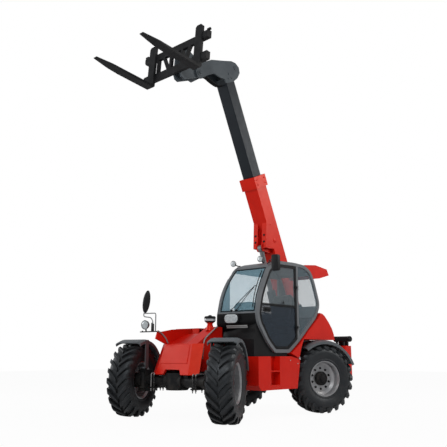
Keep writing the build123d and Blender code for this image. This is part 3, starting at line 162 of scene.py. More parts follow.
def glassSurface(name, colour, alpha, shade=None, shadeAlpha=0.0, shadeTop=0.0):
    material, tree, shader, place = startMaterial(name)
    streaks = noiseNode(tree, place, 6.0, 6.0, 0.6, (1, 1, 0.25))
    tint = mixColour(tree, rampNode(tree, streaks, 0.3, 0.7), colour, tuple(c * 0.9 for c in colour))
    cover = rampNode(tree, streaks, 0.2, 0.8, alpha - 0.02, alpha + 0.02)
    if shade:
        # the pane below the rail is a darker one
        low = rampNode(tree, heightOf(tree, place), shadeTop + 0.005, shadeTop - 0.005)
        tint = mixColour(tree, low, tint, shade)
        both = tree.nodes.new("ShaderNodeMix")
        tree.links.new(low, both.inputs[0])
        tree.links.new(cover, both.inputs[2])
        both.inputs[3].default_value = shadeAlpha
        cover = both.outputs[0]
    tree.links.new(tint, shader.inputs["Base Color"])
    tree.links.new(rampNode(tree, streaks, 0.3, 0.7, 0.10, 0.16), shader.inputs["Roughness"])
    tree.links.new(cover, shader.inputs["Alpha"])
    shader.inputs["Specular IOR Level"].default_value = 0.3
    tree.links.new(bumpNode(tree, noiseNode(tree, place, 2.0), 0.02, 0.01), shader.inputs["Normal"])
    return material


paintRed = surface("paintRed", (0.68, 0.012, 0.005), (0.62, 0.009, 0.004), rough=(0.30, 0.40), specular=0.42,
                   specularTint=(1.0, 0.30, 0.17), grain=500.0, bump=0.02, dust=0.05)
cabGrey = surface("cabGrey", (0.17, 0.18, 0.19), (0.145, 0.155, 0.165), rough=(0.34, 0.46), dust=0.12)
cabBlack = surface("cabBlack", (0.008, 0.0085, 0.009), (0.012, 0.012, 0.013), rough=(0.28, 0.42), dust=0.1)
boomDark = surface("boomDark", (0.011, 0.014, 0.017), (0.008, 0.010, 0.013), rough=(0.36, 0.48), dust=0.06,
                   specular=0.2, specularTint=(0.8, 0.9, 1.0))
headGrey = surface("headGrey", (0.078, 0.093, 0.103), (0.06, 0.072, 0.082), rough=(0.36, 0.5), dust=0.1)
forkBlack = surface("forkBlack", (0.010, 0.0105, 0.011), (0.018, 0.018, 0.019), rough=(0.36, 0.58), dust=0.1,
                    scale=8.0)
fenderGrey = surface("fenderGrey", (0.115, 0.128, 0.138), (0.095, 0.106, 0.115), rough=(0.36, 0.5), grain=900.0,
                     bump=0.12, dust=0.16, specular=0.4)
frameDark = surface("frameDark", (0.022, 0.023, 0.025), (0.015, 0.016, 0.017), rough=(0.45, 0.65), dust=0.3)
axleBlack = surface("axleBlack", (0.008, 0.009, 0.010), (0.013, 0.013, 0.014), rough=(0.38, 0.58), dust=0.2)
castBlack = surface("castBlack", (0.016, 0.016, 0.017), (0.024, 0.023, 0.022), rough=(0.6, 0.8), grain=220.0, bump=0.3,
                    dust=0.3)
rimSilver = surface("rimSilver", (0.40, 0.405, 0.415), (0.33, 0.335, 0.345), rough=(0.28, 0.4), metallic=0.5,
                    dust=0.2, dustTop=1.3, specular=0.4)
rubberTyre = surface("rubberTyre", (0.0095, 0.0105, 0.012), (0.015, 0.016, 0.0175), rough=(0.40, 0.56), grain=260.0,
                     bump=0.22, depth=0.0008, dust=0.08, dustTop=1.3, scale=6.0, specular=0.42,
                     specularTint=(0.85, 0.93, 1.0))
blackPlastic = surface("blackPlastic", (0.010, 0.010, 0.011), (0.015, 0.015, 0.016), rough=(0.38, 0.55), grain=900.0,
                       bump=0.12, dust=0.08)
cylinderGrey = surface("cylinderGrey", (0.035, 0.038, 0.043), (0.028, 0.03, 0.034), rough=(0.33, 0.48), dust=0.12)
rodChrome = surface("rodChrome", (0.72, 0.73, 0.75), (0.66, 0.67, 0.69), rough=(0.08, 0.16), metallic=1.0,
                    grain=200.0, bump=0.01, dust=0.04)
rodSteel = surface("rodSteel", (0.20, 0.205, 0.21), (0.26, 0.265, 0.27), rough=(0.24, 0.36), metallic=0.6, dust=0.05)
zincGrey = surface("zincGrey", (0.34, 0.335, 0.33), (0.28, 0.275, 0.27), rough=(0.3, 0.45), metallic=0.35, dust=0.12)
lampHousing = surface("lampHousing", (0.012, 0.012, 0.013), (0.02, 0.02, 0.021), rough=(0.32, 0.46), dust=0.06)
lampGlass = surface("lampGlass", (0.62, 0.66, 0.67), (0.50, 0.54, 0.55), rough=(0.08, 0.2), metallic=0.25, coat=0.7,
                    grain=60.0, bump=0.35, depth=0.002, dust=0.0, scale=22.0)
redLens = surface("redLens", (0.42, 0.004, 0.006), (0.30, 0.003, 0.005), rough=(0.1, 0.2), coat=0.7, grain=120.0,
                  bump=0.3, depth=0.001, dust=0.0, scale=30.0)
sealBlack = surface("sealBlack", (0.006, 0.006, 0.0065), (0.010, 0.010, 0.0105), rough=(0.5, 0.65), dust=0.05)
screenGlass = glassSurface("screenGlass", (0.36, 0.62, 0.74), 0.27)
sideGlass = glassSurface("sideGlass", (0.26, 0.36, 0.41), 0.20)
doorGlass = glassSurface("doorGlass", (0.30, 0.36, 0.39), 0.24, shade=(0.030, 0.043, 0.060), shadeAlpha=0.66,
                         shadeTop=1.932)


def seatCloth():
    # woven cloth: crossed waves for the threads, a broad fade, and sheen
    material, tree, shader, place = startMaterial("seatCloth")
    threads = []
    for axis in ("X", "Z"):
        wave = tree.nodes.new("ShaderNodeTexWave")
        wave.bands_direction = axis
        wave.inputs["Scale"].default_value = 420.0
        wave.inputs["Distortion"].default_value = 1.5
        tree.links.new(place, wave.inputs["Vector"])
        threads.append(wave.outputs["Fac"])
    weave = multiply(tree, threads[0], threads[1])
    fade = rampNode(tree, noiseNode(tree, place, 7.0), 0.35, 0.65)
    base = mixColour(tree, fade, (0.022, 0.024, 0.028), (0.035, 0.037, 0.042))
    base = mixColour(tree, rampNode(tree, weave, 0.1, 0.9, 0.0, 0.6), base, (0.012, 0.012, 0.014))
    tree.links.new(base, shader.inputs["Base Color"])
    tree.links.new(rampNode(tree, fade, 0.0, 1.0, 0.75, 0.92), shader.inputs["Roughness"])
    shader.inputs["Sheen Weight"].default_value = 0.35
    shader.inputs["Sheen Roughness"].default_value = 0.5
    tree.links.new(bumpNode(tree, weave, 0.3, 0.0006), shader.inputs["Normal"])
    return material


seatFabric = seatCloth()

slotMaterials = {
    "tyre_rubber": rubberTyre, "rim_silver": rimSilver, "axle_black": axleBlack, "fender_grey": fenderGrey,
    "frame_grey": frameDark, "red_paint": paintRed, "cast_black": castBlack, "cab_grey": cabGrey,
    "cab_black": cabBlack, "window_glass": sideGlass, "seat_black": blackPlastic, "black_plastic": blackPlastic,
    "boom_dark": boomDark, "head_grey": headGrey, "fork_black": forkBlack, "cylinder_grey": cylinderGrey,
    "rod_chrome": rodChrome, "lamp_lens": lampHousing,
}
for part in frame["record"]["subparts"]:
    node = frame["nodes"][part["node"]]
    node.data.materials.clear()
    node.data.materials.append(slotMaterials.get(part["material_slot"], boomDark))
for name, finish in (("windscreen", screenGlass), ("door_glass", doorGlass), ("lift_cylinder_rod", rodSteel),
                     ("fork_carriage", forkBlack)):
    frame["nodes"][name].data.materials[0] = finish
print("materials ready")


def at(x, y, z):
    return Matrix.Translation((x, y, z))


def turnAbout(degrees, axis):
    return Matrix.Rotation(math.radians(degrees), 4, axis)


def joinForm(form, part, matrix):
    # adds a finished part to a form, moved by a matrix
    mesh = bpy.data.meshes.new("part")
    part.to_mesh(mesh)
    part.free()
    mesh.transform(matrix)
    form.from_mesh(mesh)
    bpy.data.meshes.remove(mesh)


def makeObject(name, form):
    mesh = bpy.data.meshes.new(name)
    form.to_mesh(mesh)
    form.free()
    made = bpy.data.objects.new(name, mesh)
    scene.collection.objects.link(made)
    return made


def finishPiece(name, form, material, body="chassis", smooth=40.0):
    piece = makeObject(name, form)
    mesh = piece.data
    mesh.materials.append(material)
    mesh.shade_smooth()
    mesh.set_sharp_from_angle(angle=math.radians(smooth))
    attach(piece, body)
    return piece


def spinProfile(form, points, steps, closed=False):
    # points are radius and place along the X axis
    ring = [form.verts.new((x, 0, r)) for r, x in points]
    last = len(ring) if closed else len(ring) - 1
    edges = [form.edges.new((ring[i], ring[(i + 1) % len(ring)])) for i in range(last)]
    bmesh.ops.spin(form, geom=ring + edges, cent=(0, 0, 0), axis=(1, 0, 0), angle=2 * math.pi, steps=steps,
                   use_merge=True)
    bmesh.ops.remove_doubles(form, verts=form.verts[:], dist=1e-5)
    bmesh.ops.recalc_face_normals(form, faces=form.faces[:])


def bevelEdges(form, edges, offset, segments):
    bmesh.ops.bevel(form, geom=edges, offset=offset, segments=segments, affect="EDGES", profile=0.5, material=-1)


def addBox(form, size, matrix=Matrix.Identity(4), bevel=0.0, segments=2):
    made = bmesh.ops.create_cube(form, size=1.0, matrix=matrix @ Matrix.Diagonal((*size, 1)))
    if bevel:
        edges = list({edge for vert in made["verts"] for edge in vert.link_edges})
        bevelEdges(form, edges, bevel, segments)


def addRod(form, start, end, radius, segments=20, bevel=0.0):
    # a round bar from start to end
    start, end = Vector(start), Vector(end)
    turn = (end - start).to_track_quat("Z", "Y").to_matrix().to_4x4()
    place = Matrix.Translation((start + end) / 2) @ turn
    made = bmesh.ops.create_cone(form, cap_ends=True, segments=segments, radius1=radius, radius2=radius,
                                 depth=(end - start).length, matrix=place)
    if bevel:
        rims = {edge for vert in made["verts"] for edge in vert.link_edges
                if len([f for f in edge.link_faces if len(f.verts) > 4]) == 1}
        bevelEdges(form, list(rims), bevel, 2)


def bentTube(form, points, radius, bend=0.04, sides=12):
    # a round tube along straight runs with rounded corners, swept ring by ring
    path = []
    spots = [Vector(p) for p in points]
    for i, here in enumerate(spots):
        if i in (0, len(spots) - 1):
            path.append(here)
            continue
        back, on = spots[i - 1] - here, spots[i + 1] - here
        reach = min(bend, back.length * 0.48, on.length * 0.48)
        first, last = here + back.normalized() * reach, here + on.normalized() * reach
        for step in range(5):
            share = step / 4
            path.append(first.lerp(here, share).lerp(here.lerp(last, share), share))
    final = len(path) - 1
    rings = []
    side = None
    for i, here in enumerate(path):
        along = (path[min(i + 1, final)] - path[max(i - 1, 0)]).normalized()
        side = along.orthogonal().normalized() if side is None else side
        side = (side - along * side.dot(along)).normalized()
        turn = Matrix((side, along.cross(side), along)).transposed().to_4x4()
        ring = bmesh.ops.create_circle(form, segments=sides, radius=radius, matrix=Matrix.Translation(here) @ turn)
        rings.append(ring["verts"])
    for first, second in zip(rings, rings[1:]):
        for i in range(sides):
            form.faces.new((first[i], first[(i + 1) % sides], second[(i + 1) % sides], second[i]))
    form.faces.new(list(reversed(rings[0])))
    form.faces.new(rings[-1])
    bmesh.ops.recalc_face_normals(form, faces=form.faces[:])


def tubePiece(name, runs, radius, material, bend=0.04):
    form = bmesh.new()
    for points in runs:
        bentTube(form, points, radius, bend)
    finishPiece(name, form, material, smooth=50.0)


def turned(axisFrom, axisTo, place):
    # a matrix that turns one direction to another and moves to a place
    turn = Vector(axisFrom).rotation_difference(Vector(axisTo)).to_matrix().to_4x4()
    return Matrix.Translation(Vector(place)) @ turn


# tyres: a spun carcass with staggered chevron lugs, inside the CAD tyre's outline
tyre = {"lugs": 21, "lugHeight": 0.050, "lugWidth": 0.064, "sweep": 0.21, "lugInner": 0.008, "lugOuter": 0.213,
        "shoulderDrop": 0.048, "lugEdge": 0.006, "cuts": 6, "steps": 96,
        # radius, and distance out from the tyre's middle, from the bead to the sidewall's widest part
        "side": [(0.3225, 0.172), (0.330, 0.184), (0.352, 0.190), (0.362, 0.186), (0.385, 0.197), (0.43, 0.211),
                 (0.462, 0.214), (0.490, 0.2145), (0.500, 0.2105), (0.525, 0.204)],
        # the crown: depth below the lugs' foot, and distance out
        "crown": [(0.036, 0.190), (0.014, 0.165), (0.0, 0.09), (0.0, 0.0)]}


def wheelPlace(corner):
    low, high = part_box("tyre_" + corner)
    axis = Vector(joints["spin_" + corner]["axis"])
    return Matrix.Translation((low + high) / 2) @ Matrix.Rotation(math.atan2(axis.y, axis.x), 4, "Z")


def treadRadius(across, outer):
    # the tread is nearly flat and rolls over at each shoulder
    share = min(abs(across) / tyre["lugOuter"], 1.0)
    return outer - 0.010 * share ** 2 - tyre["shoulderDrop"] * max(0.0, (share - 0.80) / 0.20) ** 2


def bendLug(verts, outer, side, stagger):
    # local x 0..1 runs from the middle to the shoulder, y is the lug's width and z its height
    for vert in verts:
        run, width, height = max(vert.co.x, 0.0), vert.co.y, vert.co.z
        across = tyre["lugInner"] + run * (tyre["lugOuter"] - tyre["lugInner"])
        arc = tyre["sweep"] * run ** 0.85 + width * tyre["lugWidth"] * (1.0 + 0.25 * run) * (1.18 - 0.3 * height)
        radius = treadRadius(across, outer) - tyre["lugHeight"] * 1.15 * (1.0 - height)
        angle = arc / outer + stagger
        vert.co = (side * across, -math.cos(angle) * radius, math.sin(angle) * radius)


def makeTyre(corner):
    place = wheelPlace(corner)
    low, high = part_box("tyre_" + corner)
    outer = (high.z - low.z) / 2
    base = outer - tyre["lugHeight"]
    form = bmesh.new()
    profile = [(r, -x) for r, x in tyre["side"] + [(base - drop, x) for drop, x in tyre["crown"]]]
    profile += [(r, -x) for r, x in reversed(profile[:-1])]
    spinProfile(form, profile, tyre["steps"])
    for side in (-1, 1):
        lugForm = bmesh.new()
        bmesh.ops.create_cube(lugForm, size=1.0, matrix=Matrix.Translation((0.5, 0, 0.5)))
        long = [edge for edge in lugForm.edges if abs(edge.verts[0].co.x - edge.verts[1].co.x) > 0.5]
        bmesh.ops.subdivide_edges(lugForm, edges=long, cuts=tyre["cuts"], use_grid_fill=True)
        bendLug(lugForm.verts, outer, side, math.pi / tyre["lugs"] if side > 0 else 0.0)
        bmesh.ops.recalc_face_normals(lugForm, faces=lugForm.faces[:])
        sharp = [edge for edge in lugForm.edges if edge.calc_face_angle(0) > 0.7]
        bevelEdges(lugForm, sharp, tyre["lugEdge"], 1)
        lugMesh = bpy.data.meshes.new("lug")
        lugForm.to_mesh(lugMesh)
        lugForm.free()
        for count in range(tyre["lugs"]):
            form.from_mesh(lugMesh)
            lugMesh.transform(Matrix.Rotation(2 * math.pi / tyre["lugs"], 4, "X"))
        bpy.data.meshes.remove(lugMesh)
    form.transform(place)
    piece = finishPiece("tread_" + corner, form, rubberTyre, "wheel_" + corner, 32.0)
    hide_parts("tyre_" + corner)


for corner in corners:
    makeTyre(corner)
print("tyres ready")

# wheel centres: a black cap over each hub, and nuts on the disc round it
hub = {"nuts": 10, "nutCircle": 0.190, "nutRadius": 0.0165, "discFace": 0.010, "hubFace": 0.0555, "bolts": 8,
       "boltCircle": 0.096, "boltRadius": 0.009, "boltRise": 0.020,
       # the cap's outline: radius, and distance out along the axle
       "cap": [(0.0, 0.062), (0.044, 0.060), (0.054, 0.054), (0.058, 0.036), (0.074, 0.032), (0.080, 0.022),
               (0.108, 0.020), (0.120, 0.010), (0.122, 0.0), (0.0, 0.0)],
       # washer, nut and stud: share of the nut's radius, height, sides, edge
       "nutSteps": [(1.35, 0.004, 18, 0.001), (1.0, 0.024, 6, 0.002), (0.55, 0.036, 12, 0.001)]}


def makeHub(corner):
    side = 1 if "left" in corner else -1
    place = wheelPlace(corner)
    form = bmesh.new()
    spinProfile(form, [(r, side * (x + hub["hubFace"])) for r, x in hub["cap"]], 48)
    for count in range(hub["bolts"]):
        angle = 2 * math.pi * (count + 0.5) / hub["bolts"]
        spot = Vector((side * (hub["hubFace"] + hub["boltRise"]), math.sin(angle) * hub["boltCircle"],
                       math.cos(angle) * hub["boltCircle"]))
        addRod(form, spot, spot + Vector((side * 0.009, 0, 0)), hub["boltRadius"], 6, 0.001)
    form.transform(place)
    finishPiece("hub_" + corner, form, axleBlack, "wheel_" + corner)
    form = bmesh.new()
    for count in range(hub["nuts"]):
        angle = 2 * math.pi * count / hub["nuts"]
        spot = Vector((side * hub["discFace"], math.sin(angle) * hub["nutCircle"], math.cos(angle) * hub["nutCircle"]))
        for share, height, sides, edge in hub["nutSteps"]:
            addRod(form, spot, spot + Vector((side * height, 0, 0)), hub["nutRadius"] * share, sides, edge)
    form.transform(place)
    finishPiece("wheelNuts_" + corner, form, axleBlack, "wheel_" + corner)


for corner in corners:
    makeHub(corner)
print("hubs ready")


def roundedPad(form, size, corner, edge, matrix=Matrix.Identity(4)):
    # a slab, depth along local x, with its four long corners and its rim rounded
    part = bmesh.new()
    bmesh.ops.create_cube(part, size=1.0, matrix=Matrix.Diagonal((*size, 1)))
    long = [e for e in part.edges if abs(e.verts[0].co.x - e.verts[1].co.x) > size[0] * 0.5]
    bevelEdges(part, long, corner, 6)
    if edge:
        rim = [e for e in part.edges if abs(e.verts[0].co.x - e.verts[1].co.x) < 1e-6]
        bevelEdges(part, rim, edge, 3)
    bmesh.ops.recalc_face_normals(part, faces=part.faces[:])
    joinForm(form, part, matrix)


def roundLamp(name, place, facing, radius):
    # bowl, bright ring and domed glass, turned about the way it faces
    turn = turned((1, 0, 0), facing, place)
    shapes = [
        ("Bowl", lampHousing, "black_plastic",
         [(0, -0.90), (0.35, -0.88), (0.68, -0.66), (0.90, -0.32), (0.98, 0.0), (0.94, 0.10), (0.0, 0.10)]),
        ("Ring", rodSteel, "rod_chrome",
         [(0.90, 0.08), (1.0, 0.06), (1.03, 0.14), (1.0, 0.24), (0.92, 0.26), (0.86, 0.20)]),
        ("Glass", lampGlass, "lamp_lens",
         [(0, 0.36), (0.35, 0.34), (0.66, 0.27), (0.90, 0.16), (0.90, 0.11), (0, 0.11)]),
    ]
    made = []
    for ending, material, slot, outline in shapes:
        form = bmesh.new()
        spinProfile(form, [(r * radius, x * radius) for r, x in outline], 32, closed=ending == "Ring")
        form.transform(turn)
        made.append(finishPiece(name + ending, form, material))
    return made


# the right headlamp on its bar, with the mirror on bent rods
front = {"bar": ((0.435, 0.050, 0.018), (-0.6025, -1.31, 1.464)), "lamp": (-0.69, -1.325, 1.585),
         "lampFacing": (0.16, -0.98, -0.05), "lampRadius": 0.080, "stemRadius": 0.013,
         "blocks": [((0.030, 0.030, 0.130), (-0.500, -1.31, 1.534)), ((0.040, 0.020, 0.150), (-0.536, -1.30, 1.544))],
         "mirror": (-0.688, -1.320, 1.990), "mirrorHalf": (0.070, 0.205), "mirrorLean": 10.5, "mirrorTurn": 24.0,
         "mirrorBack": [(0, 0.030), (0.4, 0.027), (0.75, 0.017), (0.94, 0.002), (1.0, -0.014), (0.96, -0.022),
                        (0.90, -0.022), (0.90, -0.016), (0, -0.016)],
         "mirrorPane": [(0, -0.0175), (0.89, -0.0175), (0.89, -0.0205), (0, -0.0205)],
         "rods": [[(-0.435, -1.310, 1.470), (-0.435, -1.310, 1.780), (-0.715, -1.318, 1.786)],
                  [(-0.722, -1.318, 1.810), (-0.752, -1.318, 1.775), (-0.738, -1.316, 1.730), (-0.560, -1.312, 1.708),
                   (-0.512, -1.310, 1.650), (-0.506, -1.310, 1.590)]],
         "rodRadius": 0.0095, "rodBend": 0.035}
form = bmesh.new()
addBox(form, front["bar"][0], at(*front["bar"][1]), 0.003)
for size, place in front["blocks"]:
    addBox(form, size, at(*place), 0.006)
addRod(form, (-0.69, -1.305, 1.464), (-0.69, -1.305, 1.515), front["stemRadius"], 16, 0.002)
addRod(form, (-0.78, -1.31, 1.464), (-0.78, -1.31, 1.486), 0.012, 6, 0.002)
lampBar = finishPiece("lampBar", form, lampHousing)
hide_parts("front_bracket")
lampParts = roundLamp("rightHeadlamp", front["lamp"], front["lampFacing"], front["lampRadius"])
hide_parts("lamps")
tubePiece("mirrorRods", front["rods"], front["rodRadius"], rodSteel, front["rodBend"])
mirrorTurn = (at(*front["mirror"]) @ turnAbout(front["mirrorLean"], "Y") @ turnAbout(front["mirrorTurn"] - 90, "Z")
              @ Matrix.Diagonal((1, *front["mirrorHalf"], 1)))
form = bmesh.new()
spinProfile(form, front["mirrorBack"], 40)
form.transform(mirrorTurn)
mirrorShell = finishPiece("mirrorShell", form, lampHousing, smooth=45.0)
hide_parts("mirrors")
form = bmesh.new()
spinProfile(form, front["mirrorPane"], 40)
form.transform(mirrorTurn)
finishPiece("mirrorGlass", form, rodChrome)

# the left headlamp is let into the cab's front below the windscreen, over a bright ledge
headlamp = {"place": (0.580, -0.430, 1.680), "facing": (0.222, -0.975, 0), "size": (0.255, 0.150), "bodyDepth": 0.110,
            "corner": 0.066, "rings": ((-0.062, 0.050), (0.058, 0.040)), "ledgeLength": 0.400}
facing = Vector(headlamp["facing"]).normalized()
turn = at(*headlamp["place"]) @ Matrix((facing, Vector((0, 0, 1)).cross(facing),
                                        Vector((0, 0, 1)))).transposed().to_4x4()
wide, high = headlamp["size"]
form = bmesh.new()
roundedPad(form, (headlamp["bodyDepth"], wide + 0.028, high + 0.026), 0.075, 0.010, turn)
finishPiece("leftHeadlampBody", form, lampHousing)
form = bmesh.new()
roundedPad(form, (0.026, wide, high), headlamp["corner"], 0.009, turn @ at(0.054, 0, 0))
finishPiece("leftHeadlampGlass", form, lampGlass)
form = bmesh.new()
for across, radius in headlamp["rings"]:
    ring = bmesh.new()
    spinProfile(ring, [(radius * 0.86, 0.0), (radius, 0.0), (radius, 0.004), (radius * 0.86, 0.004)], 32, closed=True)
    joinForm(form, ring, turn @ at(0.0665, across, 0))
finishPiece("leftHeadlampRings", form, rodChrome)
form = bmesh.new()
addBox(form, (0.030, headlamp["ledgeLength"], 0.020), turn @ at(0.060, 0.115, -0.125), 0.005)
addBox(form, (0.020, headlamp["ledgeLength"], 0.034), turn @ at(0.048, 0.115, -0.146), 0.003)
finishPiece("frontLedge", form, zincGrey)

# roof lamps and the left mirror, on short arms
roofLamps = {"radius": 0.056, "facing": (0.05, -0.99, -0.06), "armRadius": 0.010,
             "spots": (("roofLampRight", (0.290, -0.070, 2.712), (0.345, 0.060, 2.675)),
                       ("roofLampLeft", (0.865, 0.005, 2.752), (0.860, 0.110, 2.690)))}
leftMirror = {"centre": (1.255, -0.050, 2.645), "size": (0.090, 0.140, 0.285), "pane": (0.004, 0.116, 0.255),
              "paneCentre": (1.255, -0.0035, 2.645), "armRadius": 0.011,
              "arms": [[(0.980, 0.110, 2.700), (1.060, 0.020, 2.716), (1.225, -0.035, 2.716)],
                       [(0.985, 0.060, 2.665), (1.080, -0.020, 2.672), (1.225, -0.045, 2.672)]]}
for name, place, foot in roofLamps["spots"]:
    roundLamp(name, place, roofLamps["facing"], roofLamps["radius"])
    form = bmesh.new()
    bentTube(form, [Vector(place) + Vector((0, 0.035, -0.015)), (place[0] + 0.01, 0.06, place[2] - 0.035), foot],
             roofLamps["armRadius"])
    finishPiece(name + "Arm", form, lampHousing, smooth=50.0)
form = bmesh.new()
roundedPad(form, leftMirror["size"], 0.030, 0.014, at(*leftMirror["centre"]) @ turnAbout(-90, "Z"))
finishPiece("leftMirrorShell", form, lampHousing)
form = bmesh.new()
roundedPad(form, leftMirror["pane"], 0.024, 0.0, at(*leftMirror["paneCentre"]) @ turnAbout(-90, "Z"))
finishPiece("leftMirrorGlass", form, rodChrome)
tubePiece("leftMirrorArm", leftMirror["arms"], leftMirror["armRadius"], lampHousing)
print("front lamps and mirrors ready")

# exhaust silencer over the counterweight, and the tail lamps
silencer = {"start": 0.795, "end": 1.180, "radius": 0.058, "y": 2.500, "z": 1.378, "feet": (0.850, 1.010),
            "footZ": 1.286}
tailLamp = {"across": 0.900, "y": 2.672, "z": 1.290, "body": (0.060, 0.210, 0.090), "glass": (0.014, 0.190, 0.072)}
length = silencer["end"] - silencer["start"]
r = silencer["radius"]
form = bmesh.new()
spinProfile(form, [(0, 0), (r - 0.014, 0), (r - 0.004, 0.004), (r, 0.014), (r, 0.020), (r - 0.003, 0.024),
                   (r - 0.003, length - 0.050), (r, length - 0.046), (r, length - 0.016), (r - 0.010, length),
                   (r - 0.020, length), (r - 0.024, length - 0.012), (0, length - 0.012)], 40)
form.transform(at(silencer["start"], silencer["y"], silencer["z"]))
for x in silencer["feet"]:
    addBox(form, (0.026, 0.060, 0.080), at(x, silencer["y"], silencer["footZ"]), 0.004)
finishPiece("silencer", form, lampHousing)
form = bmesh.new()
lensForm = bmesh.new()
for side in (-1, 1):
    spot = at(side * tailLamp["across"], tailLamp["y"], tailLamp["z"]) @ turnAbout(90, "Z")
    roundedPad(form, tailLamp["body"], 0.018, 0.006, spot)
    roundedPad(lensForm, tailLamp["glass"], 0.014, 0.004, spot @ at(0.034, 0, 0))
finishPiece("tailLampBodies", form, lampHousing)
finishPiece("tailLampGlasses", lensForm, redLens)

# bright band of the air cleaner, over its red neck: outlines are radius and height
cleaner = {"band": [(0.0942, 0.074), (0.0955, 0.075), (0.0965, 0.080), (0.0955, 0.086), (0.0965, 0.092),
                    (0.0955, 0.098), (0.0965, 0.104), (0.0955, 0.110), (0.0942, 0.111)],
           "neck": [(0.0422, 0.001), (0.052, 0.001), (0.052, 0.008), (0.0455, 0.012), (0.0455, 0.028),
                    (0.0620, 0.040), (0.0610, 0.0440), (0.0425, 0.0302)]}
low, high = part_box("air_precleaner")
for name, outline, material, slot in (("cleanerBand", cleaner["band"], rodChrome, "rod_chrome"),
                                      ("cleanerNeck", cleaner["neck"], paintRed, "red_paint")):
    form = bmesh.new()
    spinProfile(form, outline, 48, closed=True)
    form.transform(at((low.x + high.x) / 2, (low.y + high.y) / 2, low.z) @ turnAbout(-90, "Y"))
    finishPiece(name, form, material, smooth=35.0)

# hand rails beside the nose
noseTube = {"radius": 0.0115, "bend": 0.07,
            "runs": [[(0.413, -0.640, 1.545), (0.413, -0.700, 1.512), (0.413, -0.970, 1.322), (0.413, -1.010, 1.000)],
                     [(-0.366, -1.318, 1.474), (-0.366, -1.235, 1.440), (-0.366, -1.120, 1.350),
                      (-0.366, -1.072, 1.262)]]}
tubePiece("noseTubes", noseTube["runs"], noseTube["radius"], zincGrey, noseTube["bend"])

# U-bolts that clamp the axle tubes
clamp = {"places": (-0.500, 0.510), "half": 0.036, "reach": 0.108, "radius": 0.009, "bend": 0.030, "down": 0.170,
         "up": 0.128,
         "nutDrop": 0.142, "nutHeight": 0.020, "nutRadius": 0.016,
         "lowPlate": ((0.130, 0.270, 0.022), -0.109), "highPlate": ((0.120, 0.190, 0.022), 0.107)}
form = bmesh.new()
plates = bmesh.new()
for axle in ("front_axle", "rear_axle"):
    low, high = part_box(axle)
    midY, midZ = (low.y + high.y) / 2, (low.z + high.z) / 2
    for x in clamp["places"]:
        for offset in (-clamp["half"], clamp["half"]):
            ends = [(x + offset, midY - clamp["reach"]), (x + offset, midY + clamp["reach"])]
            levels = [(0, -clamp["down"]), (0, clamp["up"]), (1, clamp["up"]), (1, -clamp["down"])]
            bentTube(form, [(*ends[end], midZ + rise) for end, rise in levels], clamp["radius"], clamp["bend"], 10)
            for spot in ends:
                foot = midZ - clamp["nutDrop"]
                addRod(form, (*spot, foot), (*spot, foot + clamp["nutHeight"]), clamp["nutRadius"], 6, 0.002)
        for size, rise in (clamp["lowPlate"], clamp["highPlate"]):
            addBox(plates, size, at(x, midY, midZ + rise), 0.004)
finishPiece("axleClamps", form, zincGrey, smooth=50.0)
finishPiece("axleClampPlates", plates, axleBlack)
print("fittings ready")


def onScreen(x, z, lift):
    # the point of the windscreen's front surface at x and z, raised toward the front
    hit, place = frame["nodes"]["windscreen"].ray_cast(Vector((x, -4.0, z)), Vector((0, 1, 0)))[:2]
    return (place if hit else Vector((x, 0, z))) + Vector((0, -lift, 0))


# the right pane's front corner follows the sloping front post, which runs on past it
rightPane = {"inside": 0.290, "cutPlace": (0.27, -0.110, 2.460), "cutNormal": (0, -0.16, 0.14), "postX": 0.277,
             "postRadius": 0.023, "postBend": 0.06,
             "post": ((-0.300, 2.250), (-0.269, 2.300), (-0.198, 2.400), (-0.115, 2.500), (-0.014, 2.600),
                      (0.060, 2.650))}
form = bmesh.new()
form.from_mesh(frame["nodes"]["cab_windows"].data)
bmesh.ops.remove_doubles(form, verts=form.verts[:], dist=1e-5)
faces = [f for f in form.faces if all(v.co.x < rightPane["inside"] for v in f.verts)]
edges = list({e for f in faces for e in f.edges})
verts = list({v for f in faces for v in f.verts})
cut = bmesh.ops.bisect_plane(form, geom=verts + edges + faces, plane_co=rightPane["cutPlace"],
                             plane_no=rightPane["cutNormal"], clear_outer=True)
rim = [e for e in cut["geom_cut"] if isinstance(e, bmesh.types.BMEdge)]
bmesh.ops.contextual_create(form, geom=rim)
windows = finishPiece("cabWindows", form, sideGlass, smooth=20.0)
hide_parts("cab_windows")
post = [(rightPane["postX"], y + rightPane["postRadius"], z) for y, z in rightPane["post"]]
tubePiece("rightFrontPost", [post], rightPane["postRadius"], cabGrey, rightPane["postBend"])

# wiper: two arms from the foot of the windscreen carry a long blade
wiper = {"pivots": ((0.540, 1.830), (0.640, 1.830)), "apex": (0.915, 2.255), "blade": ((0.945, 1.870), (0.925, 2.540)),
         "armRadius": 0.0055, "bladeRadius": 0.007}
form = bmesh.new()
for index, (x, z) in enumerate(wiper["pivots"]):
    start = onScreen(x, z, 0.030)
    end = onScreen(wiper["apex"][0] - 0.012 * index, wiper["apex"][1] - 0.03 * index, 0.032)
    bentTube(form, [start, start.lerp(end, 0.5) + Vector((0, -0.012, 0)), end], wiper["armRadius"], 0.1, 8)
    addRod(form, start + Vector((0, 0.024, 0)), start + Vector((0, -0.014, 0)), 0.014, 16, 0.002)
(bladeX, bladeZ), (topX, topZ) = wiper["blade"]
blade = [onScreen(bladeX + (topX - bladeX) * share, bladeZ + (topZ - bladeZ) * share, 0.014)
         for share in (0.0, 0.25, 0.5, 0.75, 1.0)]
bentTube(form, blade, wiper["bladeRadius"], 0.05, 8)
addRod(form, onScreen(*wiper["apex"], 0.036), onScreen(0.935, 2.255, 0.016), 0.006, 10)
finishPiece("wiper", form, sealBlack, smooth=50.0)

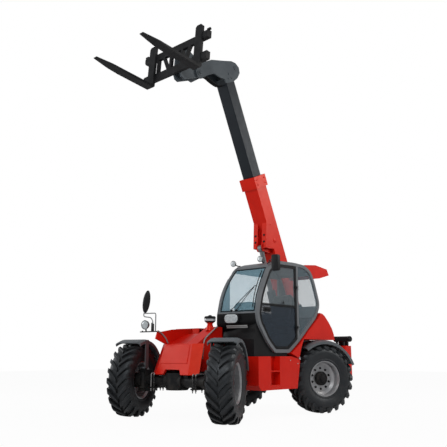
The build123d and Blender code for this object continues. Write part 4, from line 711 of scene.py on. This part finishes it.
# black rubber seal along the windscreen's edge
seal = {"radius": 0.009, "left": 0.975, "right": 0.318, "levels": (1.815, 1.95, 2.10, 2.25, 2.40, 2.50, 2.585)}
sealRuns = [[onScreen(seal[side], z, 0.003) for z in seal["levels"]] for side in ("left", "right")]
sealRuns += [[onScreen(x, z, 0.003) for x in (seal["right"], 0.5, 0.75, seal["left"])]
             for z in (seal["levels"][0], seal["levels"][-1])]
tubePiece("windscreenSeal", sealRuns, seal["radius"], sealBlack, 0.05)

# door handle and window catch, and the tank's latch and bolts
doorHandle = {"plate": ((0.012, 0.200, 0.078), (1.052, -0.060, 1.842)),
              "grip": ((0.022, 0.120, 0.026), (1.066, -0.050, 1.850)),
              "catchY": 0.414, "catch": ((0.012, 0.020, 0.052), (1.066, 0.414, 1.990))}
tankLatch = {"lock": (1.100, 0.804, 1.006), "lockRadius": 0.022, "keyTurn": 25,
             "bolts": ((0.530, 0.971), (0.750, 0.913))}
form = bmesh.new()
roundedPad(form, doorHandle["plate"][0], 0.018, 0.003, at(*doorHandle["plate"][1]))
roundedPad(form, doorHandle["grip"][0], 0.008, 0.006, at(*doorHandle["grip"][1]))
addRod(form, (1.046, doorHandle["catchY"], 1.975), (1.064, doorHandle["catchY"], 1.975), 0.016, 16, 0.003)
addBox(form, doorHandle["catch"][0], at(*doorHandle["catch"][1]), 0.004)
finishPiece("doorHandle", form, sealBlack, "door")
form = bmesh.new()
x, y, z = tankLatch["lock"]
addRod(form, (x, y, z), (x + 0.014, y, z), tankLatch["lockRadius"], 24, 0.003)
addBox(form, (0.012, 0.018, 0.060), at(x + 0.017, y, z) @ turnAbout(tankLatch["keyTurn"], "X"), 0.004)
for y, z in tankLatch["bolts"]:
    addRod(form, (x, y, z), (x + 0.008, y, z), 0.012, 6, 0.002)
finishPiece("tankLatch", form, rodChrome)

# hood louvres and latches on the engine's side
louvre = {"rows": 9, "first": 1.000, "pitch": 0.036, "size": (0.010, 0.560, 0.030), "y": 0.330, "tilt": 24,
          "latches": (-0.250, 0.740), "latchZ": 0.960}
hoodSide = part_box("engine_hood")[0].x
form = bmesh.new()
for row in range(louvre["rows"]):
    addBox(form, louvre["size"], at(hoodSide - 0.001, louvre["y"], louvre["first"] + row * louvre["pitch"])
           @ turnAbout(louvre["tilt"], "Y"), 0.003)
for y in louvre["latches"]:
    addBox(form, (0.016, 0.030, 0.090), at(hoodSide - 0.006, y, louvre["latchZ"]), 0.005)
finishPiece("hoodLouvres", form, lampHousing, "hood")
print("cab and hood fittings ready")

# boom fittings are placed along the boom, above its pivot line, and across it
boomPivot = Vector(joints["boom_lift"]["pos_m"])
boomAlong = Vector(joints["boom_extend"]["axis"]).normalized()
if boomAlong.z < 0:
    boomAlong = -boomAlong
boomUp = Vector((0, boomAlong.z, -boomAlong.y))
boomTurn = Matrix((Vector((1, 0, 0)), boomUp, boomAlong)).transposed().to_4x4()


def onBoom(x, along, above):
    return boomPivot + Vector((x, 0, 0)) + boomAlong * along + boomUp * above


def boltHead(form, place, outward, radius=0.014, height=0.012):
    outward = Vector(outward).normalized()
    addRod(form, place, place + outward * height * 0.3, radius * 1.4, 16, 0.0008)
    addRod(form, place, place + outward * height, radius, 6, 0.0015)


# places are along and above, in metres
boomBolt = {"bracketX": 0.110, "bracketAlong": (1.630, 1.750), "bracketTop": (2.015, -0.090), "bracketSlope": 0.51,
            "bracketNormal": (0.454, -0.891), "side": ((1.909, 0.0), (2.755, 0.190), (2.755, -0.070), (2.860, 0.190),
                                                       (2.860, -0.070)),
            "sideX": 0.165, "collarX": 0.193, "collarFrom": 2.69, "cap": (1.558, 0.0),
            # thickness and radius of the cap's two discs, with their sides
            "capDiscs": ((0.008, 0.046, 32), (0.014, 0.026, 24))}
flangeOut = boomAlong * boomBolt["bracketNormal"][0] + boomUp * boomBolt["bracketNormal"][1]
topAlong, topAbove = boomBolt["bracketTop"]
form = bmesh.new()
for x in (-boomBolt["bracketX"], boomBolt["bracketX"]):
    for along in boomBolt["bracketAlong"]:
        above = topAbove - (topAlong - along) * boomBolt["bracketSlope"]
        boltHead(form, onBoom(x, along, above) + flangeOut * 0.001, flangeOut, 0.017, 0.016)
finishPiece("bracketBolts", form, axleBlack, "boom")
form = bmesh.new()
for side in (-1, 1):
    for along, above in boomBolt["side"]:
        wide = boomBolt["collarX" if along > boomBolt["collarFrom"] else "sideX"]
        boltHead(form, onBoom(side * wide, along, above), (side, 0, 0), 0.012)
    cap = onBoom(side * boomBolt["sideX"], *boomBolt["cap"])
    for thick, radius, sides in boomBolt["capDiscs"]:
        addRod(form, cap, cap + Vector((side * thick, 0, 0)), radius, sides, 0.003)
finishPiece("boomBolts", form, paintRed, "boom")

# wear pads show at the boom's mouth
wearPad = {"size": (0.18, 0.018, 0.012), "along": 2.936, "above": (0.2165, -0.0965)}
form = bmesh.new()
for above in wearPad["above"]:
    addBox(form, wearPad["size"], Matrix.Translation(onBoom(0.0, wearPad["along"], above)) @ boomTurn, 0.002)
finishPiece("wearPads", form, sealBlack, "boom")

# pin caps on the boom head, and the steel pipes that loop under it
head = {"half": 0.138, "pins": ((5.150, -0.800, 0.052), (5.150, 0.330, 0.042)),
        "bolts": ((4.965, 0.020), (4.965, 0.120), (5.050, 0.070)),
        "pipeX": (-0.039, -0.013, 0.013, 0.039), "pipeRadius": 0.0115, "pipeBend": 0.11,
        "pipe": ((4.860, -0.100), (4.870, -0.230), (4.985, -0.400), (5.085, -0.500), (5.100, -0.700)),
        "clip": (5.088, -0.560), "clipSize": (0.110, 0.050, 0.030)}
form = bmesh.new()
for side in (-1, 1):
    for along, above, radius in head["pins"]:
        spot = onBoom(side * head["half"], along, above)
        outer = spot + Vector((side * 0.012, 0, 0))
        addRod(form, spot, outer, radius, 28, 0.003)
        boltHead(form, outer, (side, 0, 0), 0.012, 0.010)
    for along, above in head["bolts"]:
        boltHead(form, onBoom(side * head["half"], along, above), (side, 0, 0), 0.013)
finishPiece("headPins", form, headGrey, "telescope")
form = bmesh.new()
for x in head["pipeX"]:
    bentTube(form, [onBoom(x, *spot) for spot in head["pipe"]], head["pipeRadius"], head["pipeBend"], 10)
addBox(form, head["clipSize"], Matrix.Translation(onBoom(0, *head["clip"])) @ boomTurn, 0.004)
finishPiece("headPipes", form, sealBlack, "telescope", 50.0)
print("boom fittings ready")

# operator's seat: moulded base and bellows, cloth cushion and back
seat = {"x": 0.650, "cushion": ((0.650, 0.600, 1.524), (0.235, 0.245, 0.052)), "cushionChannels": (-0.12, 0.0, 0.12),
        "back": ((0.650, 0.905, 1.900), (0.225, 0.050, 0.300)), "backChannels": (-0.16, 0.0, 0.14), "backLean": -9.6,
        "voxel": 0.008, "pressure": 4.0, "tension": 25.0, "frames": 20, "cap": 0.024, "channelWidth": 0.009,
        "channelDepth": 0.16, "bellows": 6, "bellowsFoot": 1.190, "bellowsPitch": 0.042}


def bakeModifiers(piece):
    # the evaluated mesh takes the place of the modifiers
    bpy.context.view_layer.update()
    shaped = bpy.data.meshes.new_from_object(piece.evaluated_get(bpy.context.evaluated_depsgraph_get()))
    piece.modifiers.clear()
    old = piece.data
    piece.data = shaped
    bpy.data.meshes.remove(old)


def swell(piece):
    # air pressure rounds the block, and no point moves further than the cap
    start = [vert.co.copy() for vert in piece.data.vertices]
    cloth = piece.modifiers.new("cloth", "CLOTH")
    cloth.settings.use_pressure = True
    cloth.settings.uniform_pressure_force = seat["pressure"]
    cloth.settings.effector_weights.gravity = 0.0
    cloth.settings.tension_stiffness = seat["tension"]
    cloth.point_cache.frame_start = 1
    cloth.point_cache.frame_end = seat["frames"]
    for step in range(1, seat["frames"] + 1):
        scene.frame_set(step)
    bakeModifiers(piece)
    scene.frame_set(1)
    for vert, was in zip(piece.data.vertices, start):
        moved = vert.co - was
        if moved.length > seat["cap"]:
            vert.co = was + moved.normalized() * seat["cap"]


def softBlock(name, centre, half, lean, channels):
    # a rounded block swollen by air pressure, then sewn in along its channels
    form = bmesh.new()
    addBox(form, [2 * size for size in half], bevel=min(half) * 0.7, segments=5)
    piece = makeObject(name, form)
    bpy.context.view_layer.objects.active = piece
    remesh = piece.modifiers.new("remesh", "REMESH")
    remesh.mode = "VOXEL"
    remesh.voxel_size = seat["voxel"]
    bakeModifiers(piece)
    swell(piece)
    # channels are pressed into the broad faces, across the width
    thin, run = (2, 1) if half[2] < half[1] else (1, 2)
    for vert in piece.data.vertices:
        face = abs(vert.co[thin]) / half[thin]
        pull = sum(math.exp(-((vert.co[run] - spot) / seat["channelWidth"]) ** 2) for spot in channels)
        edge = max(0.0, 1.0 - (abs(vert.co.x) / half[0]) ** 6)
        vert.co[thin] *= 1.0 - seat["channelDepth"] * min(pull, 1.0) * min(face, 1.0) * edge
    sub = piece.modifiers.new("smooth", "SUBSURF")
    sub.levels = sub.render_levels = 1
    bakeModifiers(piece)
    piece.data.transform(at(*centre) @ turnAbout(lean, "X"))
    piece.data.shade_smooth()
    piece.data.materials.append(seatFabric)
    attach(piece, "chassis")
    return piece


cushion = softBlock("seatCushion", *seat["cushion"], 0.0, seat["cushionChannels"])
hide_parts("operator_seat")
softBlock("seatBack", *seat["back"], seat["backLean"], seat["backChannels"])
form = bmesh.new()
roundedPad(form, (0.030, 0.470, 0.500), 0.060, 0.008,
           at(seat["x"], 0.600, 1.458) @ turnAbout(90, "Y") @ turnAbout(90, "X"))
for level in range(seat["bellows"]):
    wide = 0.36 - 0.02 * (level % 2)
    addBox(form, (wide, wide * 0.62, 0.044), at(seat["x"], 0.450, seat["bellowsFoot"] + level * seat["bellowsPitch"]),
           0.012)
addBox(form, (0.400, 0.330, 0.022), at(seat["x"], 0.450, 1.158), 0.006)
roundedPad(form, (0.022, 0.430, 0.560), 0.070, 0.008,
           at(seat["x"], 0.978, 1.880) @ turnAbout(seat["backLean"], "X") @ turnAbout(90, "Z"))
for side in (-1, 1):
    roundedPad(form, (0.045, 0.270, 0.050), 0.018, 0.010, at(seat["x"] + side * 0.265, 0.700, 1.700))
    armX = seat["x"] + side * 0.262
    addRod(form, (armX, 0.850, 1.560), (armX, 0.820, 1.690), 0.016, 14)
finishPiece("seatFrame", form, blackPlastic)

# steering wheel on its column, with the dash cowl ahead of it
column = {"foot": Vector((0.650, 0.230, 1.446)), "along": Vector((0, 0.2425, 0.9701)), "reach": 0.337, "ring": 0.178,
          "grip": 0.014, "spokes": 3,
          "boss": [(0.0, 0.352), (0.030, 0.350), (0.042, 0.342), (0.044, 0.325), (0.0, 0.322)]}
# rounded blocks of the dash, its pedestal and the console: size, corner, edge, centre, turn
dash = [((0.190, 0.440, 0.250), 0.090, 0.030, (0.600, -0.080, 1.860), -90),
        ((0.120, 0.300, 0.420), 0.050, 0.020, (0.600, -0.050, 1.560), -90),
        ((0.420, 0.110, 0.520), 0.030, 0.014, (0.362, 0.560, 1.420), 90)]
form = bmesh.new()
roundedPad(form, (0.330, 0.190, 0.085), 0.030, 0.010,
           at(0.650, 0.255, 1.312) @ turnAbout(-90, "Y") @ turnAbout(90, "X"))
addRod(form, column["foot"] - column["along"] * 0.02, column["foot"] + column["along"] * 0.330, 0.033, 28, 0.003)
part = bmesh.new()
spinProfile(part, column["boss"], 32)
angles = [2 * math.pi * i / 12 for i in range(12)]
spinProfile(part, [(column["ring"] + column["grip"] * math.cos(a), column["reach"] + column["grip"] * math.sin(a))
                   for a in angles], 56, closed=True)
for count in range(column["spokes"]):
    angle = 2 * math.pi * count / column["spokes"]
    addRod(part, *[(column["reach"], math.cos(angle) * r, math.sin(angle) * r) for r in (0.030, 0.172)], 0.010, 12)
joinForm(form, part, turned((1, 0, 0), column["along"], column["foot"]))
steering = finishPiece("steeringWheel", form, blackPlastic)
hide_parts("steering_column")
form = bmesh.new()
for size, corner, edge, centre, turn in dash:
    roundedPad(form, size, corner, edge, at(*centre) @ turnAbout(turn, "Z"))
addRod(form, (0.362, 0.480, 1.670), (0.370, 0.470, 1.790), 0.010, 12)
bmesh.ops.create_uvsphere(form, u_segments=16, v_segments=10, radius=0.024, matrix=at(0.371, 0.468, 1.800))
finishPiece("cabConsole", form, blackPlastic)
print("cab interior ready")

# stage: pale floor, soft lights and the camera
stage = {"floorSize": 60.0, "floorDrop": 0.002, "floorColour": (0.66, 0.66, 0.67, 1), "floorWhite": 0.96,
         "floorGlossy": 0.2, "skyColour": (0.95, 0.97, 1.0, 1), "skyStrength": 0.34, "skyGlossy": 0.15,
         # name, place, target, size, power and colour of each soft light
         "lights": [("keyLight", (5.0, -9.0, 9.0), (0, 0, 1.5), (6, 4), 560.0, (1, 1, 1)),
                    ("fillLight", (-9.0, -5.0, 5.0), (0, 0, 2), (6, 5), 300.0, (1, 1, 1)),
                    ("sideLight", (8.5, 7.5, 8.0), (0, 1, 3.0), (7, 5), 620.0, (1.0, 0.96, 0.92))]}


def lightPathShare(tree, camera, glossy, transmission):
    # how far each kind of ray sees the plain background
    rays = tree.nodes.new("ShaderNodeLightPath")
    total = None
    for name, weight in (("Is Camera Ray", camera), ("Is Glossy Ray", glossy), ("Is Transmission Ray", transmission)):
        part = multiply(tree, rays.outputs[name], weight)
        if total is None:
            total = part
            continue
        most = tree.nodes.new("ShaderNodeMath")
        most.operation = "MAXIMUM"
        tree.links.new(total, most.inputs[0])
        tree.links.new(part, most.inputs[1])
        total = most.outputs[0]
    return total


def whiteMix(tree, output, shader, white, shares):
    # a shader that some rays see as plain white
    tree.nodes.clear()
    out, plain, bright, mix = [tree.nodes.new("ShaderNode" + kind) for kind in (output, shader, white, "MixShader")]
    bright.inputs["Color"].default_value = (1, 1, 1, 1)
    tree.links.new(lightPathShare(tree, *shares), mix.inputs[0])
    tree.links.new(plain.outputs[0], mix.inputs[1])
    tree.links.new(bright.outputs[0], mix.inputs[2])
    tree.links.new(mix.outputs[0], out.inputs["Surface"])
    return plain


form = bmesh.new()
bmesh.ops.create_grid(form, x_segments=1, y_segments=1, size=stage["floorSize"] / 2)
floor = makeObject("floor", form)
floor.location.z = cadBox[0][2] - stage["floorDrop"]
floorMaterial = bpy.data.materials.new("floorPale")
floorMaterial.use_nodes = True
pale = whiteMix(floorMaterial.node_tree, "OutputMaterial", "BsdfDiffuse", "Emission",
                (stage["floorWhite"], stage["floorGlossy"], stage["floorWhite"]))
pale.inputs["Color"].default_value = stage["floorColour"]
floor.data.materials.append(floorMaterial)
world = bpy.data.worlds.new("studio")
scene.world = world
world.use_nodes = True
sky = whiteMix(world.node_tree, "OutputWorld", "Background", "Background", (1.0, stage["skyGlossy"], 1.0))
sky.inputs["Color"].default_value = stage["skyColour"]
sky.inputs["Strength"].default_value = stage["skyStrength"]

for name, place, target, size, power, colour in stage["lights"]:
    data = bpy.data.lights.new(name, "AREA")
    data.shape = "RECTANGLE"
    data.size, data.size_y = size
    data.energy = power
    data.color = colour
    light = bpy.data.objects.new(name, data)
    light.location = place
    light.rotation_euler = (Vector(target) - Vector(place)).to_track_quat("-Z", "Y").to_euler()
    light.visible_camera = False
    scene.collection.objects.link(light)

camera = {"place": (7.686, -8.531, 1.076), "turn": 42.10, "rise": 12.064, "lens": 49.27, "sensor": 36.0, "reach": 200}
cameraData = bpy.data.cameras.new("camera")
cameraData.lens = camera["lens"]
cameraData.sensor_width = camera["sensor"]
cameraData.clip_end = camera["reach"]
viewer = bpy.data.objects.new("camera", cameraData)
viewer.location = camera["place"]
viewer.rotation_euler = (math.radians(90 + camera["rise"]), 0, math.radians(camera["turn"]))
scene.collection.objects.link(viewer)
scene.camera = viewer
scene.view_settings.view_transform = "Standard"

print("scene ready")
